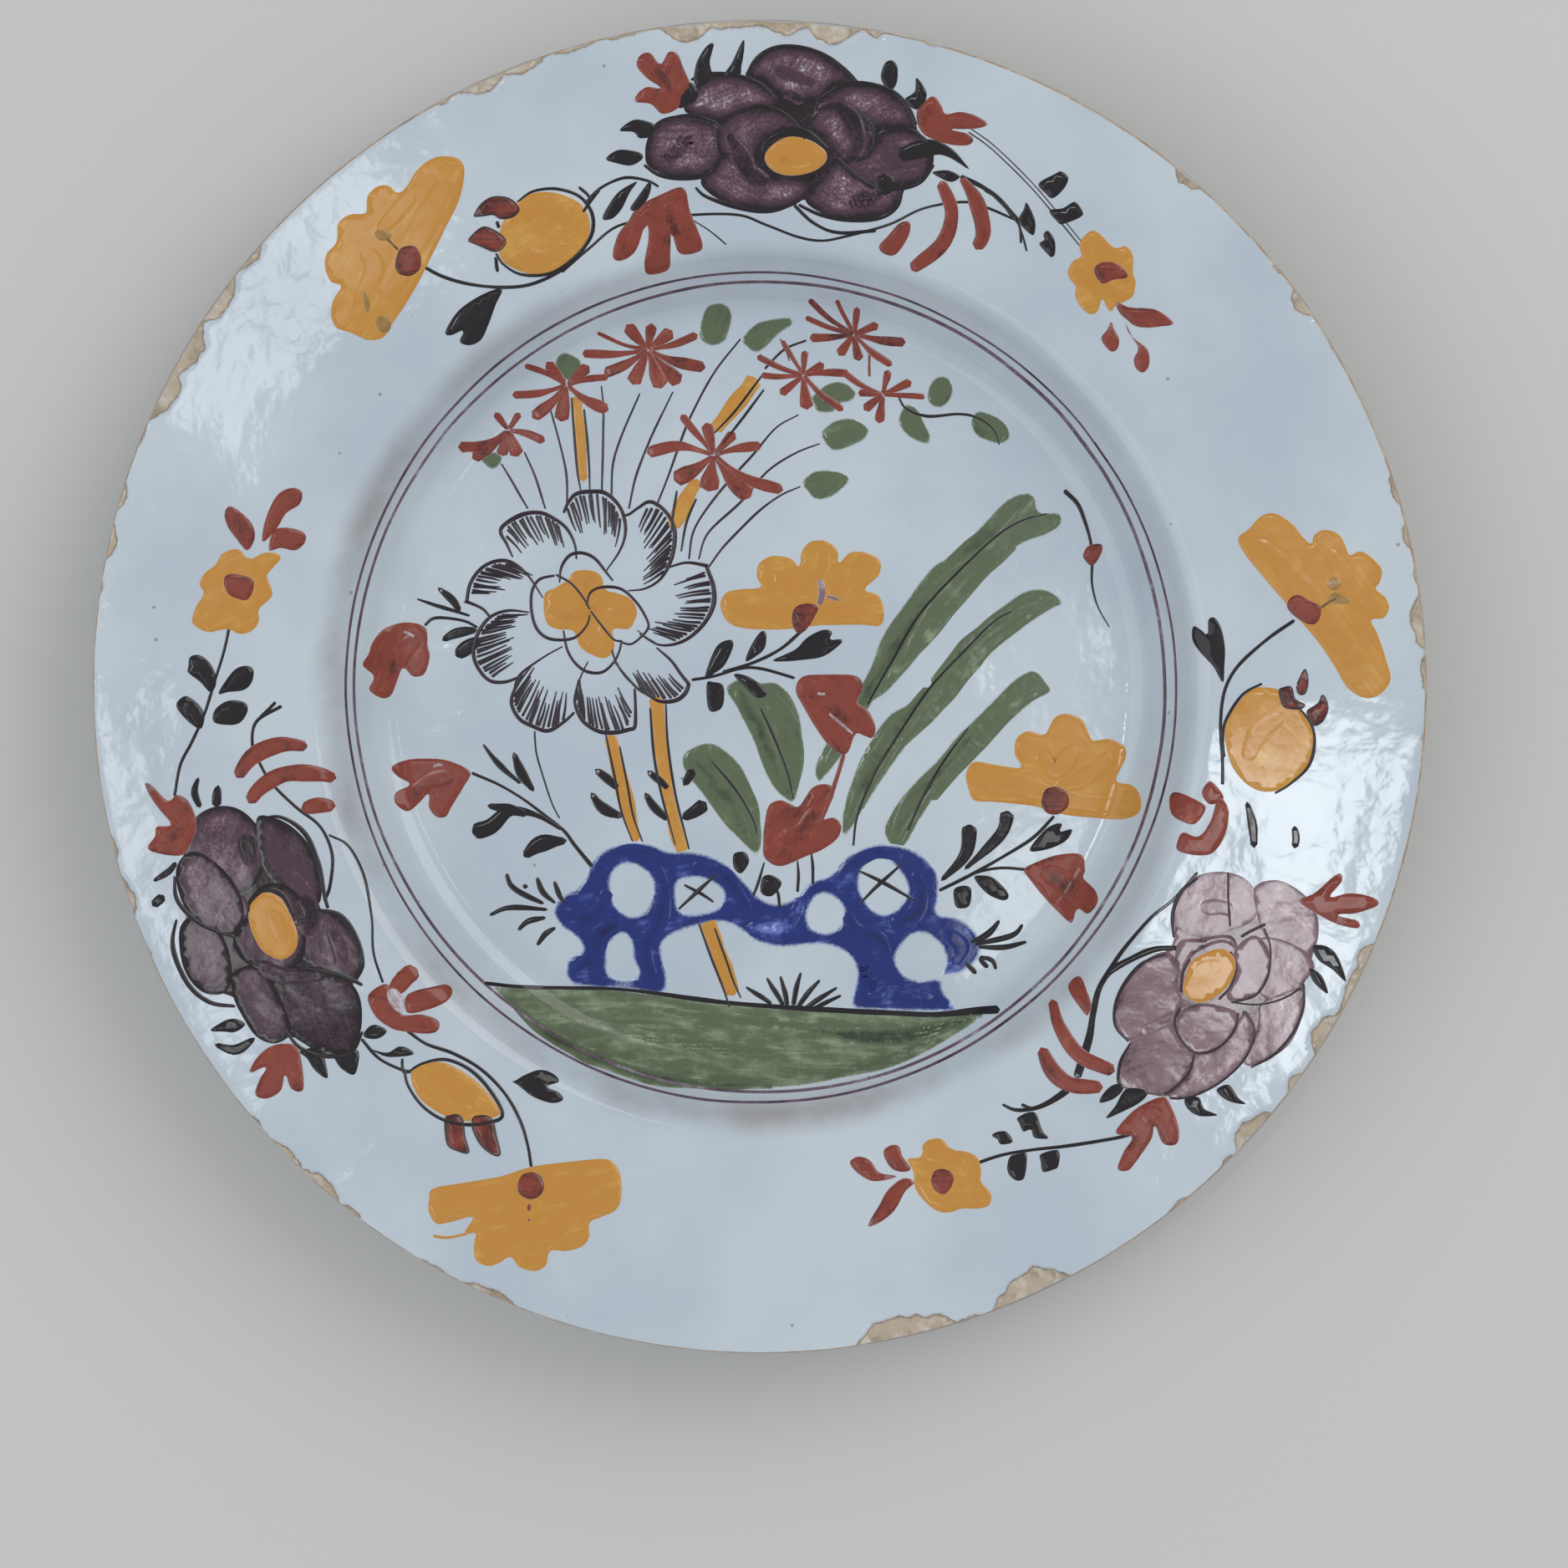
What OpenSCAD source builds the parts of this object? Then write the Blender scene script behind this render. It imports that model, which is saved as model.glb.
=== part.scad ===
// Hand painted tin-glazed earthenware dish, lying on its foot ring.
// +Z is up out of the painted face, +Y is the top of the picture,
// and the origin is the middle of the foot ring on the table.
// The clay is one fired piece; it is given as its foot ring, floor, wall and flange, which meet
// face to face. The three coats of glaze and each painted motif are separate solids.

/* [Plate] */
// Diameter over the rim, in millimetres
plate_d = 340; // [300:5:380]
// Height of the rim over the table
plate_h = 39; // [34:1:46]
// Height of the well floor over the table
floor_z = 11.5; // [10:0.5:14]
// Thickness of the fired clay wall
clay_t = 4.8; // [4:0.2:6]
// Radius of the flat floor of the well, before its fillet
well_r = 98; // [90:1:102]
// Radius of the shoulder where the well meets the flange
shoulder_r = 112; // [108:1:120]
// Height of the shoulder over the table
shoulder_z = 29.5; // [26:0.5:32]

/* [Foot] */
// Radius to the middle of the foot ring
foot_r = 80; // [70:1:88]
// Width of the foot ring where it rests
foot_w = 5; // [4:0.5:8]
// Draught of the foot ring on each side
foot_draught = 1.2; // [0.5:0.1:2]

/* [Glaze] */
// Thickness of the white tin glaze
glaze_t = 0.6; // [0.4:0.1:1]
// Width of the worn edge of the rim, where the clay is bare
worn_edge = 1.6; // [1:0.2:3]
// Thickness of the raised enamel paint
paint_t = 0.3; // [0.2:0.05:0.5]

/* [Painting] */
// Angle of the top rim spray, anticlockwise from +X
spray_turn = 86.7; // [80:0.5:95]
// Angle between one rim spray and the next
spray_step = 120; // [118:0.5:122]
// Radius of the outer of the two lines round the well
line_r = 107; // [105:0.5:108]
// Radius of the inner line
inner_line_r = 104.2; // [102:0.2:104.6]
// Width of both lines
line_w = 0.8; // [0.5:0.1:1.2]

/* [Hidden] */
$fn = 96;

lip_x = plate_d / 2 - worn_edge;
well_fillet = 9;
shoulder_fillet = 7;
arc_steps = 7;
foot_in = foot_r - foot_w / 2;
foot_out = foot_r + foot_w / 2;
base_z = floor_z - glaze_t - clay_t;

// Colours
clay_colour = [0.72, 0.55, 0.41];
glaze_colour = [0.84, 0.88, 0.92];
purple = [0.36, 0.24, 0.32];
line_colour = [0.20, 0.13, 0.16];
yellow = [0.88, 0.63, 0.20];
red = [0.60, 0.24, 0.18];
green = [0.37, 0.47, 0.34];
blue = [0.19, 0.25, 0.56];

// ---- Section of the plate -------------------------------------------------

function unit(v) = v / norm(v);
// Left-hand normal of the segment from a to b
function normal(a, b) = let (d = unit(b - a)) [-d[1], d[0]];

// Points of the arc of radius r that rounds the corner b between a and c
function rounded(a, b, c, r) =
    let (u = unit(a - b), v = unit(c - b),
         half = acos(u * v) / 2,
         centre = b + unit(u + v) * (r / sin(half)),
         first = b + u * (r / tan(half)) - centre,
         turn = (u[0] * v[1] - u[1] * v[0] > 0 ? -1 : 1) * (180 - 2 * half))
    [for (i = [0:arc_steps])
        let (t = turn * i / arc_steps)
        centre + [first[0] * cos(t) - first[1] * sin(t),
                  first[0] * sin(t) + first[1] * cos(t)]];

// A path moved to its left by t, with mitred corners
function moved(path, t) =
    let (last = len(path) - 1)
    [for (i = [0:last])
        let (before = normal(path[max(i - 1, 0)], path[max(i, 1)]),
             after = normal(path[min(i, last - 1)], path[min(i + 1, last)]),
             mitre = unit(before + after))
        path[i] + mitre * (t / (mitre * before))];

function reversed(path) = [for (i = [len(path) - 1:-1:0]) path[i]];

// Top of the face glaze, from the centre out to the worn edge
face_path =
    let (centre = [0, floor_z], well = [well_r, floor_z],
         shoulder = [shoulder_r, shoulder_z], lip = [lip_x, plate_h])
    concat([centre], rounded(centre, well, shoulder, well_fillet),
           rounded(well, shoulder, lip, shoulder_fillet), [lip]);
clay_face = moved(face_path, -glaze_t);

// Underside of the clay, from the foot ring out to the worn edge
under_start = [foot_out + foot_draught, base_z];
clay_under = concat([under_start],
    [for (p = moved(clay_face, -clay_t)) if (p[0] > foot_out + foot_draught + 5) p]);
glaze_under = moved(clay_under, -glaze_t);

// Both paths have the same number of points: the floor runs to point 1 and the flange starts here
flange_start = 2 * (arc_steps + 1);
function part_of(path, from, to) = [for (i = [from:to]) path[i]];

module ring_section(above, below) {
    rotate_extrude() polygon(concat(above, reversed(below)));
}

// ---- The plate ------------------------------------------------------------

// The ring that the dish rests on
module foot_ring() {
    color(clay_colour) rotate_extrude()
        polygon([[foot_in, 0], [foot_out, 0], under_start, [foot_in - foot_draught, base_z]]);
}

// The flat floor of the well
module clay_floor() {
    color(clay_colour) ring_section(part_of(clay_face, 0, 1), [[0, base_z], clay_under[1]]);
}

// The curved wall of the well, from the floor to the flange
module clay_wall() {
    color(clay_colour)
        ring_section(part_of(clay_face, 1, flange_start), part_of(clay_under, 1, flange_start));
}

// The flange, with a rounded lip
module clay_flange() {
    last = flange_start + 1;
    above = part_of(clay_face, flange_start, last);
    below = part_of(clay_under, flange_start, last);
    lip_mid = (above[1] + below[1]) / 2;
    lip_half = norm(above[1] - lip_mid);
    reach = plate_d / 2 - lip_mid[0];
    lip = [for (a = [75:-15:-75]) lip_mid + [reach * cos(a), lip_half * sin(a)]];
    color(clay_colour) ring_section(concat(above, lip), below);
}

module face_glaze() {
    color(glaze_colour) ring_section(face_path, clay_face);
}

module back_glaze() {
    color(glaze_colour) ring_section(clay_under, glaze_under);
}

module base_glaze() {
    color(glaze_colour) translate([0, 0, base_z - glaze_t])
        cylinder(h = glaze_t, r = foot_in - foot_draught - 0.2);
}

// ---- The paint ------------------------------------------------------------

// Lays a flat shape on the face as a coat of enamel
module painted(colour) {
    color(colour) intersection() {
        linear_extrude(plate_h + 2 * paint_t) children();
        ring_section(moved(face_path, paint_t), face_path);
    }
}

module at(x, y, turn = 0) {
    translate([x, y]) rotate(turn) children();
}

// A spot for each [x, y, radius]
module spots(list) {
    for (s = list) translate([s[0], s[1]]) circle(s[2], $fn = 32);
}

// A leaf from the origin along +X. belly is where it is widest: 1 is the middle, more is the tip
module leaf(length, width, belly = 1) {
    steps = 9;
    edge = [for (i = [1:steps - 1])
        let (t = i / steps) [length * t, width / 2 * sin(180 * pow(t, belly))]];
    polygon(concat([[0, 0]], edge, [[length, 0]], [for (p = reversed(edge)) [p[0], -p[1]]]));
}

// A straight brush mark of even width from a to b
module mark(a, b, width) {
    d = b - a;
    translate(a) rotate(atan2(d[1], d[0])) translate([0, -width / 2]) square([norm(d), width]);
}

// Leaves joined at the origin and spread evenly to each side of +X
module lobes(count, spread, length) {
    steps = 6 * count;
    polygon(concat([[0, 0]], [for (i = [0:steps])
        let (a = spread * (2 * i / steps - 1), r = length * (0.62 + 0.38 * abs(sin(180 * count * i / steps))))
        [r * cos(a), r * sin(a)]]));
}

// A spider-like flower: thin rays round the origin
module star(rays, length) {
    polygon([for (i = [0:2 * rays - 1])
        let (a = 180 * i / rays, r = length * (i % 2 == 0 ? 1 : 0.2))
        [r * cos(a), r * sin(a)]]);
}

// Half a blossom: a bar with three lobes along +Y
module half_blossom(width, height) {
    translate([-width / 2, 0]) square([width, height * 0.36]);
    spots([for (i = [-1:1]) [i * width * 0.24, height * (0.62 - 0.12 * abs(i)), height * 0.34]]);
}

module small_blossom(r) {
    for (i = [0:4]) rotate(72 * i + 18) translate([r * 0.62, 0]) circle(r * 0.5, $fn = 32);
    circle(r * 0.6, $fn = 32);
}

// Paints the same thing in a spray at its own place on the rim. Sprays count anticlockwise
module in_spray(index) {
    rotate(spray_turn - 90 + spray_step * index) children();
}

module well_lines() {
    painted(line_colour)
        for (r = [line_r, inner_line_r]) difference() {
            circle(r);
            circle(r - line_w);
        }
}

module green_bank() {
    painted(green) intersection() {
        circle(inner_line_r - 2 * line_w);
        at(0, -130, -2.5) square([220, 100], center = true);
    }
}

module blue_rock() {
    lobes = [[-33, -50, 10], [-45, -60, 8], [-40, -71, 8], [-32, -72, 9], [-16, -52, 11],
             [-3, -57, 9], [8, -59, 7], [17, -57, 9], [31, -50, 11], [46, -63, 10],
             [40, -70, 11], [30, -70, 9]];
    holes = [[-33, -53, 5], [-17, -54, 4.4], [-36, -70, 4.4], [17, -58, 4.2], [31, -52, 5],
             [41, -69, 5.4]];
    painted(blue) difference() {
        spots(lobes);
        spots(holes);
        at(0, -130, -2.5) square([220, 101], center = true);
    }
}

module bamboo_stems() {
    painted(yellow) {
        mark([-48, 75], [-46, 51], 4);
        mark([-2, 79], [-23, 40], 4.2);
        mark([-39, -13], [-32, -41], 4.2);
        mark([-28, -5], [-21, -43], 4.2);
        mark([-14, -62], [-7, -79], 4.4);
    }
}

module broad_leaves() {
    painted(green) {
        at(8, -38, 106) leaf(40, 15, 1.6);
        at(0, -44, 124) leaf(36, 14, 1.6);
    }
}

module long_leaves() {
    painted(green) {
        mark([19, -20], [36, 16], 9);
        mark([34, 12], [71, 47], 10);
        mark([26, -35], [38, -8], 8);
        mark([36, -11], [73, 24], 8);
        mark([38, -39], [48, -20], 8);
        mark([46, -23], [71, 3], 8);
    }
}

module white_peony() {
    petals = 9;
    module petal_ring(r) {
        for (i = [0:petals - 1]) rotate(40 * i + 10) translate([20, 0]) circle(r, $fn = 32);
        circle(20);
    }
    painted(line_colour) at(-44, 20) difference() {
        petal_ring(11.5);
        petal_ring(10.8);
    }
}

module white_peony_heart() {
    painted(yellow) at(-44, 20) spots([[-7, 2, 6], [7, 1, 6], [0, 8, 4], [2, -7, 5]]);
}

module asters() {
    heads = [[-30, 88, 12], [-52, 80, 10], [-66, 66, 9], [-12, 62, 13], [10, 82, 10],
             [25, 95, 10], [32, 77, 8]];
    painted(red) for (h = heads)
        at(h[0], h[1], 8) star(9, h[2]);
}

module small_leaves() {
    places = [[-12, 94, 70], [2, 92, 25], [-50, 84, 90], [-68, 59, 0], [22, 68, 15],
              [17, 55, 10], [20, 77, 20], [47, 79, 60], [40, 70, -50], [60, 70, -15]];
    painted(green) for (p = places)
        at(p[0], p[1], p[2]) translate([-5.5, 0]) leaf(11, 7);
}

module fan_blossoms() {
    painted(yellow) {
        at(11, 17) half_blossom(42, 21);
        at(76, -31, -5) half_blossom(44, 24);
    }
}

module red_tulips() {
    heads = [[-86, 14, 215, 16], [-76, -22, 180, 18], [12, 2, -50, 20], [10, -46, 90, 20],
             [68, -44, -35, 18]];
    painted(red) for (h = heads)
        at(h[0], h[1], h[2]) lobes(3, 34, h[3]);
}

// The rim sprays below are drawn for a spray whose peony lies on +Y
peony_r = 139;

module peony(index) {
    petals = [[-29, -2, 11], [-17, 10, 12], [0, 14, 13], [17, 8, 12], [28, -3, 12],
              [18, -14, 10], [0, -12, 12], [-15, -10, 11]];
    painted(purple) in_spray(index) translate([0, peony_r]) difference() {
        spots(petals);
        oval(7.4, 5.2);
    }
}

// An oval outline with half axes a and b
module oval(a, b) {
    polygon([for (t = [0:15:345]) [a * cos(t), b * sin(t)]]);
}

module peony_hearts() {
    painted(yellow) for (i = [0:2]) in_spray(i) translate([0, peony_r]) oval(7, 4.8);
}

module fan_blossom(index) {
    painted(yellow) in_spray(index) rotate(39) at(0, 141, -20) half_blossom(42, 24);
}

module fruit_buds() {
    painted(yellow) for (i = [0:2]) in_spray(i) rotate(27) translate([0, 130]) oval(12, 9.6);
}

module red_leaves(index) {
    painted(red) in_spray(index) {
        at(-25, 152, 110) lobes(3, 45, 15);
        at(-32, 127, 255) lobes(3, 40, 16);
        at(36, 140, 5) lobes(3, 40, 15);
        at(35, 128, 255) lobes(3, 35, 19);
        rotate(-37) at(-1, 127, -80) lobes(3, 42, 16);
    }
}

module small_blossoms() {
    painted(yellow) for (i = [0:2]) in_spray(i) rotate(-36) translate([0, 137]) small_blossom(10);
}

foot_ring();
clay_floor();
clay_wall();
clay_flange();
face_glaze();
back_glaze();
base_glaze();
well_lines();
green_bank();
blue_rock();
bamboo_stems();
broad_leaves();
long_leaves();
white_peony();
white_peony_heart();
asters();
small_leaves();
fan_blossoms();
red_tulips();
peony(0);  // top_peony
peony(1);  // left_peony
peony(2);  // right_peony
peony_hearts();
fan_blossom(0);  // top_fan_blossom
fan_blossom(1);  // left_fan_blossom
fan_blossom(2);  // right_fan_blossom
fruit_buds();
red_leaves(0);  // top_red_leaves
red_leaves(1);  // left_red_leaves
red_leaves(2);  // right_red_leaves
small_blossoms();
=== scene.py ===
import math
from collections import namedtuple

import bpy
import numpy as np
from mathutils import Matrix, Vector
from mathutils.bvhtree import BVHTree
from mathutils.geometry import delaunay_2d_cdt


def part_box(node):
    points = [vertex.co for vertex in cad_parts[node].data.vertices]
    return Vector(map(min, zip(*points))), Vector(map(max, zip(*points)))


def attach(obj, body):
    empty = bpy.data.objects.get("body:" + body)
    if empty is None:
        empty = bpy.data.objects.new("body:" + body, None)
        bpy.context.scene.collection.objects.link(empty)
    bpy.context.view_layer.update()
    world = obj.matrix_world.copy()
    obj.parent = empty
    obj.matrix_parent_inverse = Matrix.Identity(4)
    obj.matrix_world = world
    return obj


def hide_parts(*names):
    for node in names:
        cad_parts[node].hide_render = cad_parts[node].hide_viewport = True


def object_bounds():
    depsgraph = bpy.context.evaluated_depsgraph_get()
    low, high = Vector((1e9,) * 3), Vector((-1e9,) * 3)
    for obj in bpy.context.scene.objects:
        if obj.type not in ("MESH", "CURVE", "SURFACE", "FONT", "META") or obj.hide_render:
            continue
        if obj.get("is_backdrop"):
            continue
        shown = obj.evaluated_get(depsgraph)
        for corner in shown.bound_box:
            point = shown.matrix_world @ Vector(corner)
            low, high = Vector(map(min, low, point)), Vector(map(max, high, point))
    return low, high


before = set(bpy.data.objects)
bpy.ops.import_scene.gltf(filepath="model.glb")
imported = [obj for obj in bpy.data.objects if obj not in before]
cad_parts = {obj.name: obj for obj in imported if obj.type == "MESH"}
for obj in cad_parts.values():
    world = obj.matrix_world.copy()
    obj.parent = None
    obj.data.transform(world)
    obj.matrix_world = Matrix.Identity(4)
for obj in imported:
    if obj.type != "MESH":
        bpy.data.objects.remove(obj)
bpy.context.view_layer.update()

# A painted tin-glazed dish. It lies on its foot ring, with the painted face up (+Z) and the top of
# the picture towards +Y. The painting is laid out in millimetres from the middle of the dish.
MM = 0.001
random = np.random.default_rng(1740)


# ---- Colours ----------------------------------------------------------------------------------

def colour(code):
    """Linear RGBA of a colour written as RRGGBB"""
    parts = [int(code[i:i + 2], 16) / 255 for i in (0, 2, 4)]
    return tuple(c / 12.92 if c < 0.04045 else ((c + 0.055) / 1.055) ** 2.4 for c in parts) + (1.0,)


GLAZE = colour("CCD6DD")
GLAZE_DEEP = colour("BFCAD4")
# Brownish stain colour, also used for the painted shade at the well's shoulder
GLAZE_STAIN_AND_SHADE = colour("998D86")
SPECK = colour("6B5C50")
CLAY = colour("C8B8A3")
CLAY_DARK = colour("8E7A64")
CLAY_PALE = colour("DFD6C8")
CLAY_EDGE = colour("AE7A55")
GLAZE_ROUGH, CLAY_ROUGH = 0.07, 0.85

# Radii in metres where the stain and painted shade of the well's shoulder start, are full, fade and end
STAIN_AND_SHADE_RADII = (0.1030, 0.1090, 0.1095, 0.1160)
# Radii in metres between which the clay of the rim turns redder, and heights in metres between
# which the glaze that is left on the lower half of the rim's edge gives way to bare clay
RED_EDGE = (0.1693, 0.1701)
WORN_HEIGHTS = (0.0386, 0.0391)

# A pigment: its slot name, its colour when thin, usual and thick, how much its density
# varies with the brush streaks, the blotches and the fine grain, how far it gathers at an edge,
# the width in mm over which an edge fades, and its roughness
Pigment = namedtuple("Pigment", "slot thin usual thick streaks blotches grain gather fade roughness")
PIGMENTS = {
    "cobalt": Pigment("cobalt_blue", "6C7FCC", "162A76", "0F164E", 0.40, 0.85, 0.10, 0.12, 1.3, 0.10),
    "green": Pigment("copper_green", "98A688", "5F6C50", "34412F", 0.62, 0.42, 0.12, 0.36, 0.7, 0.10),
    "purple": Pigment("manganese_purple", "806270", "4C3340", "1B0C14", 0.45, 0.65, 0.75, 0.20, 0.3, 0.10),
    "pale_purple": Pigment("manganese_purple", "BCA6AB", "866A72", "46303A", 0.40, 0.95, 0.60,
                           0.20, 0.3, 0.10),
    "line": Pigment("manganese_line", "7C6674", "2E1A26", "140A11", 0.25, 0.35, 0.20, 0.00, 0.08, 0.11),
    "black": Pigment("manganese_line", "4C3E46", "150D11", "080506", 0.30, 0.25, 0.15, 0.10, 0.12, 0.10),
    "smudge": Pigment("manganese_line", "B68C4C", "98763F", "5A4832", 0.20, 0.80, 0.30, 0.00, 0.06, 0.13),
    "yellow": Pigment("yellow_enamel", "E0B45C", "CA8D38", "AE6D26", 0.30, 0.42, 0.12, 0.10, 0.2, 0.13),
    "red": Pigment("iron_red_enamel", "AC5C46", "8A3A2A", "4A1812", 0.55, 0.95, 0.45, 0.20, 0.2, 0.18),
}


# ---- Shape of the dish ------------------------------------------------------------------------

def side_of(node, up):
    """Radii and heights in mm along the top (up = 1) or the underside (up = -1) of a turned CAD node"""
    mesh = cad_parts[node].data
    corners = [v.co for v in mesh.vertices]
    tree = BVHTree.FromPolygons(corners, [p.vertices for p in mesh.polygons])
    far, near = Vector((0, 0, up)), 0.05 * MM
    found = {}
    for co in corners:
        inside = Vector((co.x, co.y, 0)) * 0.9999
        hit = tree.ray_cast(inside + far, -far)[0]
        if hit is not None and abs(hit.z - co.z) < near:
            found[round(math.hypot(co.x, co.y) / MM, 1)] = co.z / MM
    return np.array(sorted(found.items()))


face_side = side_of("face_glaze", 1)
back_side = side_of("back_glaze", -1)
base_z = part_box("base_glaze")[0].z / MM
rim_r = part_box("clay_flange")[1].y / MM
foot = [v.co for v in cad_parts["foot_ring"].data.vertices if v.co.z < 0.01 * MM]
foot_radii = [math.hypot(co.x, co.y) / MM for co in foot]
foot_in, foot_out = min(foot_radii), max(foot_radii)
lip_x = face_side[-1][0]


EASE_STEP = 0.25        # the steps of radius in mm in which a side is kept
EASE_SPREAD = 1.0       # how soft a corner gets, in mm
EASE_REACH = int(3 * EASE_SPREAD / EASE_STEP)


def eased(side, first):
    """A side with its corners eased, as heights at even steps of the radius"""
    r = np.arange(first, side[-1][0] + EASE_STEP, EASE_STEP)
    z = np.interp(r, side[:, 0], side[:, 1])
    weight = np.exp(-0.5 * (np.arange(-EASE_REACH, EASE_REACH + 1) * EASE_STEP / EASE_SPREAD) ** 2)
    slope_in, slope_out = z[1] - z[0], z[-1] - z[-2]
    before = z[0] + slope_in * np.arange(-EASE_REACH, 0)
    after = z[-1] + slope_out * np.arange(1, EASE_REACH + 1)
    return r, np.convolve(np.concatenate([before, z, after]), weight / weight.sum(), "valid")


face_r, face_z = eased(face_side, 0.0)
back_r, back_z = eased(back_side, back_side[0][0])

# Soft unevenness of hand throwing: direction, wavelength in mm, height in mm and phase of each wave
WAVES = [(20, 95, 0.10, 0.3), (75, 70, 0.07, 1.9), (130, 52, 0.04, 4.0), (160, 34, 0.020, 2.2),
         (45, 27, 0.014, 5.1), (100, 19, 0.008, 0.9), (10, 14, 0.005, 3.3)]


def unevenness(x, y):
    """Height in mm that the hand-thrown clay stands off the true turned form"""
    r, turn = np.hypot(x, y), np.arctan2(y, x)
    # The rim sways in two and in three waves, and faint rings 8.5 mm apart are left from throwing
    z = (r / rim_r) ** 3 * (0.30 * np.cos(2 * turn + 0.7) + 0.16 * np.cos(3 * turn - 1.1))
    z = z + 0.004 * np.sin(2 * np.pi * r / 8.5 + 0.8 * np.sin(turn)) * np.clip(r / 60, 0, 1)
    for way, length, height, phase in WAVES:
        along = x * math.cos(math.radians(way)) + y * math.sin(math.radians(way))
        z = z + height * np.sin(2 * np.pi * along / length + phase)
    return z


# Chips round the rim: angle in degrees anticlockwise from +X, length along the rim and depth in mm.
# Those that run together make the long worn stretches
CHIPS = [(96, 15, 5.2), (92, 26, 3.4), (88, 16, 4.4), (83.5, 15, 5.8), (80, 6, 3), (75, 7, 1.8),
         (70.5, 4, 1.2),
         (101.5, 15, 2.0), (106, 15, 2.6), (110.5, 15, 3.2), (114.5, 14, 4.0), (118, 7, 2.0),
         (126, 13, 1.5),
         (133, 8, 1.4), (139.5, 10, 3.0), (144, 16, 4.6), (149, 17, 5.6), (153.5, 16, 5.0), (157.5, 8, 2.2),
         (163, 10, 2.8), (167, 11, 3.4), (171, 7, 1.6), (179, 18, 1.5), (-166.5, 10, 2.2), (-162, 13, 3.2),
         (-157, 9, 2.0), (-148, 12, 1.3), (-139, 11, 2.0), (-135.5, 14, 3.0),
         (-131.5, 15, 3.8), (-128, 9, 2.4), (-119.5, 11, 2.2), (-114, 18, 3.2),
         (-108, 6, 1.2), (-96, 8, 1.5),
         (-87, 7, 1.3), (-77, 27, 7.0), (-71.5, 9, 2.4), (-65.5, 23, 6.8), (-57, 8, 1.6), (-50.5, 10, 2.2),
         (-45, 6, 2.6), (-41.5, 14, 5.6), (-36, 7, 3.2), (-31, 12, 5.6), (-26.5, 19, 3.2), (-23.5, 8, 4.4),
         (-15, 12, 1.4), (-4, 10, 1.8), (1.5, 12, 2.8), (6, 16, 4.0), (10, 8, 2.2), (13.5, 9, 2.8),
         (17.5, 10, 3.0),
         (24, 6, 1.2), (31, 8, 1.5), (35.5, 9, 3.8), (39, 7, 2.0), (46.5, 4, 1.6),
         (50, 9, 3.6), (60, 6, 1.3)]
EDGE_WORN = 0.8         # how wide the bare clay is in mm where the rim isn't chipped
LEAST_WORN = 0.25


def ragged(turn, seed, waves=(9, 23, 41, 77, 131, 211)):
    """A fixed uneven value from about -1 to 1 round the rim"""
    total = 0
    for i, count in enumerate(waves):
        total = total + np.sin(count * turn + seed * (i + 1.7) ** 2) / (i + 1.3) ** 0.6
    return total / 2.4


def bare_width(turn):
    """Width in mm of the bare clay at the rim, inwards from the outer edge, at an angle in radians"""
    width = EDGE_WORN + 0.30 * ragged(turn, 2.1)
    for angle, length, depth in CHIPS:
        away = (turn - math.radians(angle) + math.pi) % (2 * math.pi) - math.pi
        across = np.clip(1 - (away * rim_r / (length / 2)) ** 2, 0, None)
        rough = 1 + 0.24 * ragged(turn, angle, (37, 71, 113, 181, 269))
        width = np.maximum(width, depth * across ** 0.6 * rough)
    return np.maximum(width, LEAST_WORN)


SEGMENTS = 900
turns = np.arange(SEGMENTS) * 2 * np.pi / SEGMENTS
GLAZE_STEP = 0.45       # how far bare clay lies under the glaze, in mm
CHIP_DISH = 0.10        # how much deeper a chip gets for each mm towards the edge
CHIP_GRIT = 0.09        # how uneven bare clay is, in mm
GRIT_ROWS = 64


def spun(rows):
    """The points and faces of a turned surface. Each row is the radii and heights in mm of one ring,
    with a value for each segment"""
    points = [np.stack([r * np.cos(turns), r * np.sin(turns), z], 1) for r, z in rows]
    i, j = np.meshgrid(np.arange(len(rows) - 1), np.arange(SEGMENTS), indexing="ij")
    k = (j + 1) % SEGMENTS
    outer = (i + 1) * SEGMENTS
    faces = np.stack([i * SEGMENTS + j, i * SEGMENTS + k, outer + k, outer + j], -1)
    return np.concatenate(points) * MM, faces.reshape(-1, 4)


def new_object(name, points, faces, values=None, vectors=None):
    """A smooth mesh object, with named numbers and vectors for its points"""
    mesh = bpy.data.meshes.new(name)
    mesh.from_pydata([tuple(p) for p in points], [], [tuple(int(v) for v in f) for f in faces])
    for key, data in (values or {}).items():
        mesh.attributes.new(key, "FLOAT", "POINT").data.foreach_set("value", np.asarray(data, np.float32))
    for key, data in (vectors or {}).items():
        flat = np.asarray(data, np.float32).ravel()
        mesh.attributes.new(key, "FLOAT_VECTOR", "POINT").data.foreach_set("vector", flat)
    mesh.polygons.foreach_set("use_smooth", [True] * len(mesh.polygons))
    mesh.update()
    made = bpy.data.objects.new(name, mesh)
    bpy.context.collection.objects.link(made)
    return made


def ring_unevenness(r):
    """How uneven the dish is round a ring of one radius, or of a radius for each segment"""
    return unevenness(r * np.cos(turns), r * np.sin(turns))


# Radii in mm where the rings of the face lie: close together at the fillets and at the rim
face_rings = np.concatenate([np.arange(0.6, 92, 2.0), np.arange(92, 120, 0.8), np.arange(120, 157, 2.0),
                             np.arange(157, lip_x, 0.42)])
bare = bare_width(turns)
grit = np.stack([ragged(turns, 5.0 + 0.37 * i, (17, 53, 97, 171, 263)) for i in range(GRIT_ROWS)])


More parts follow.
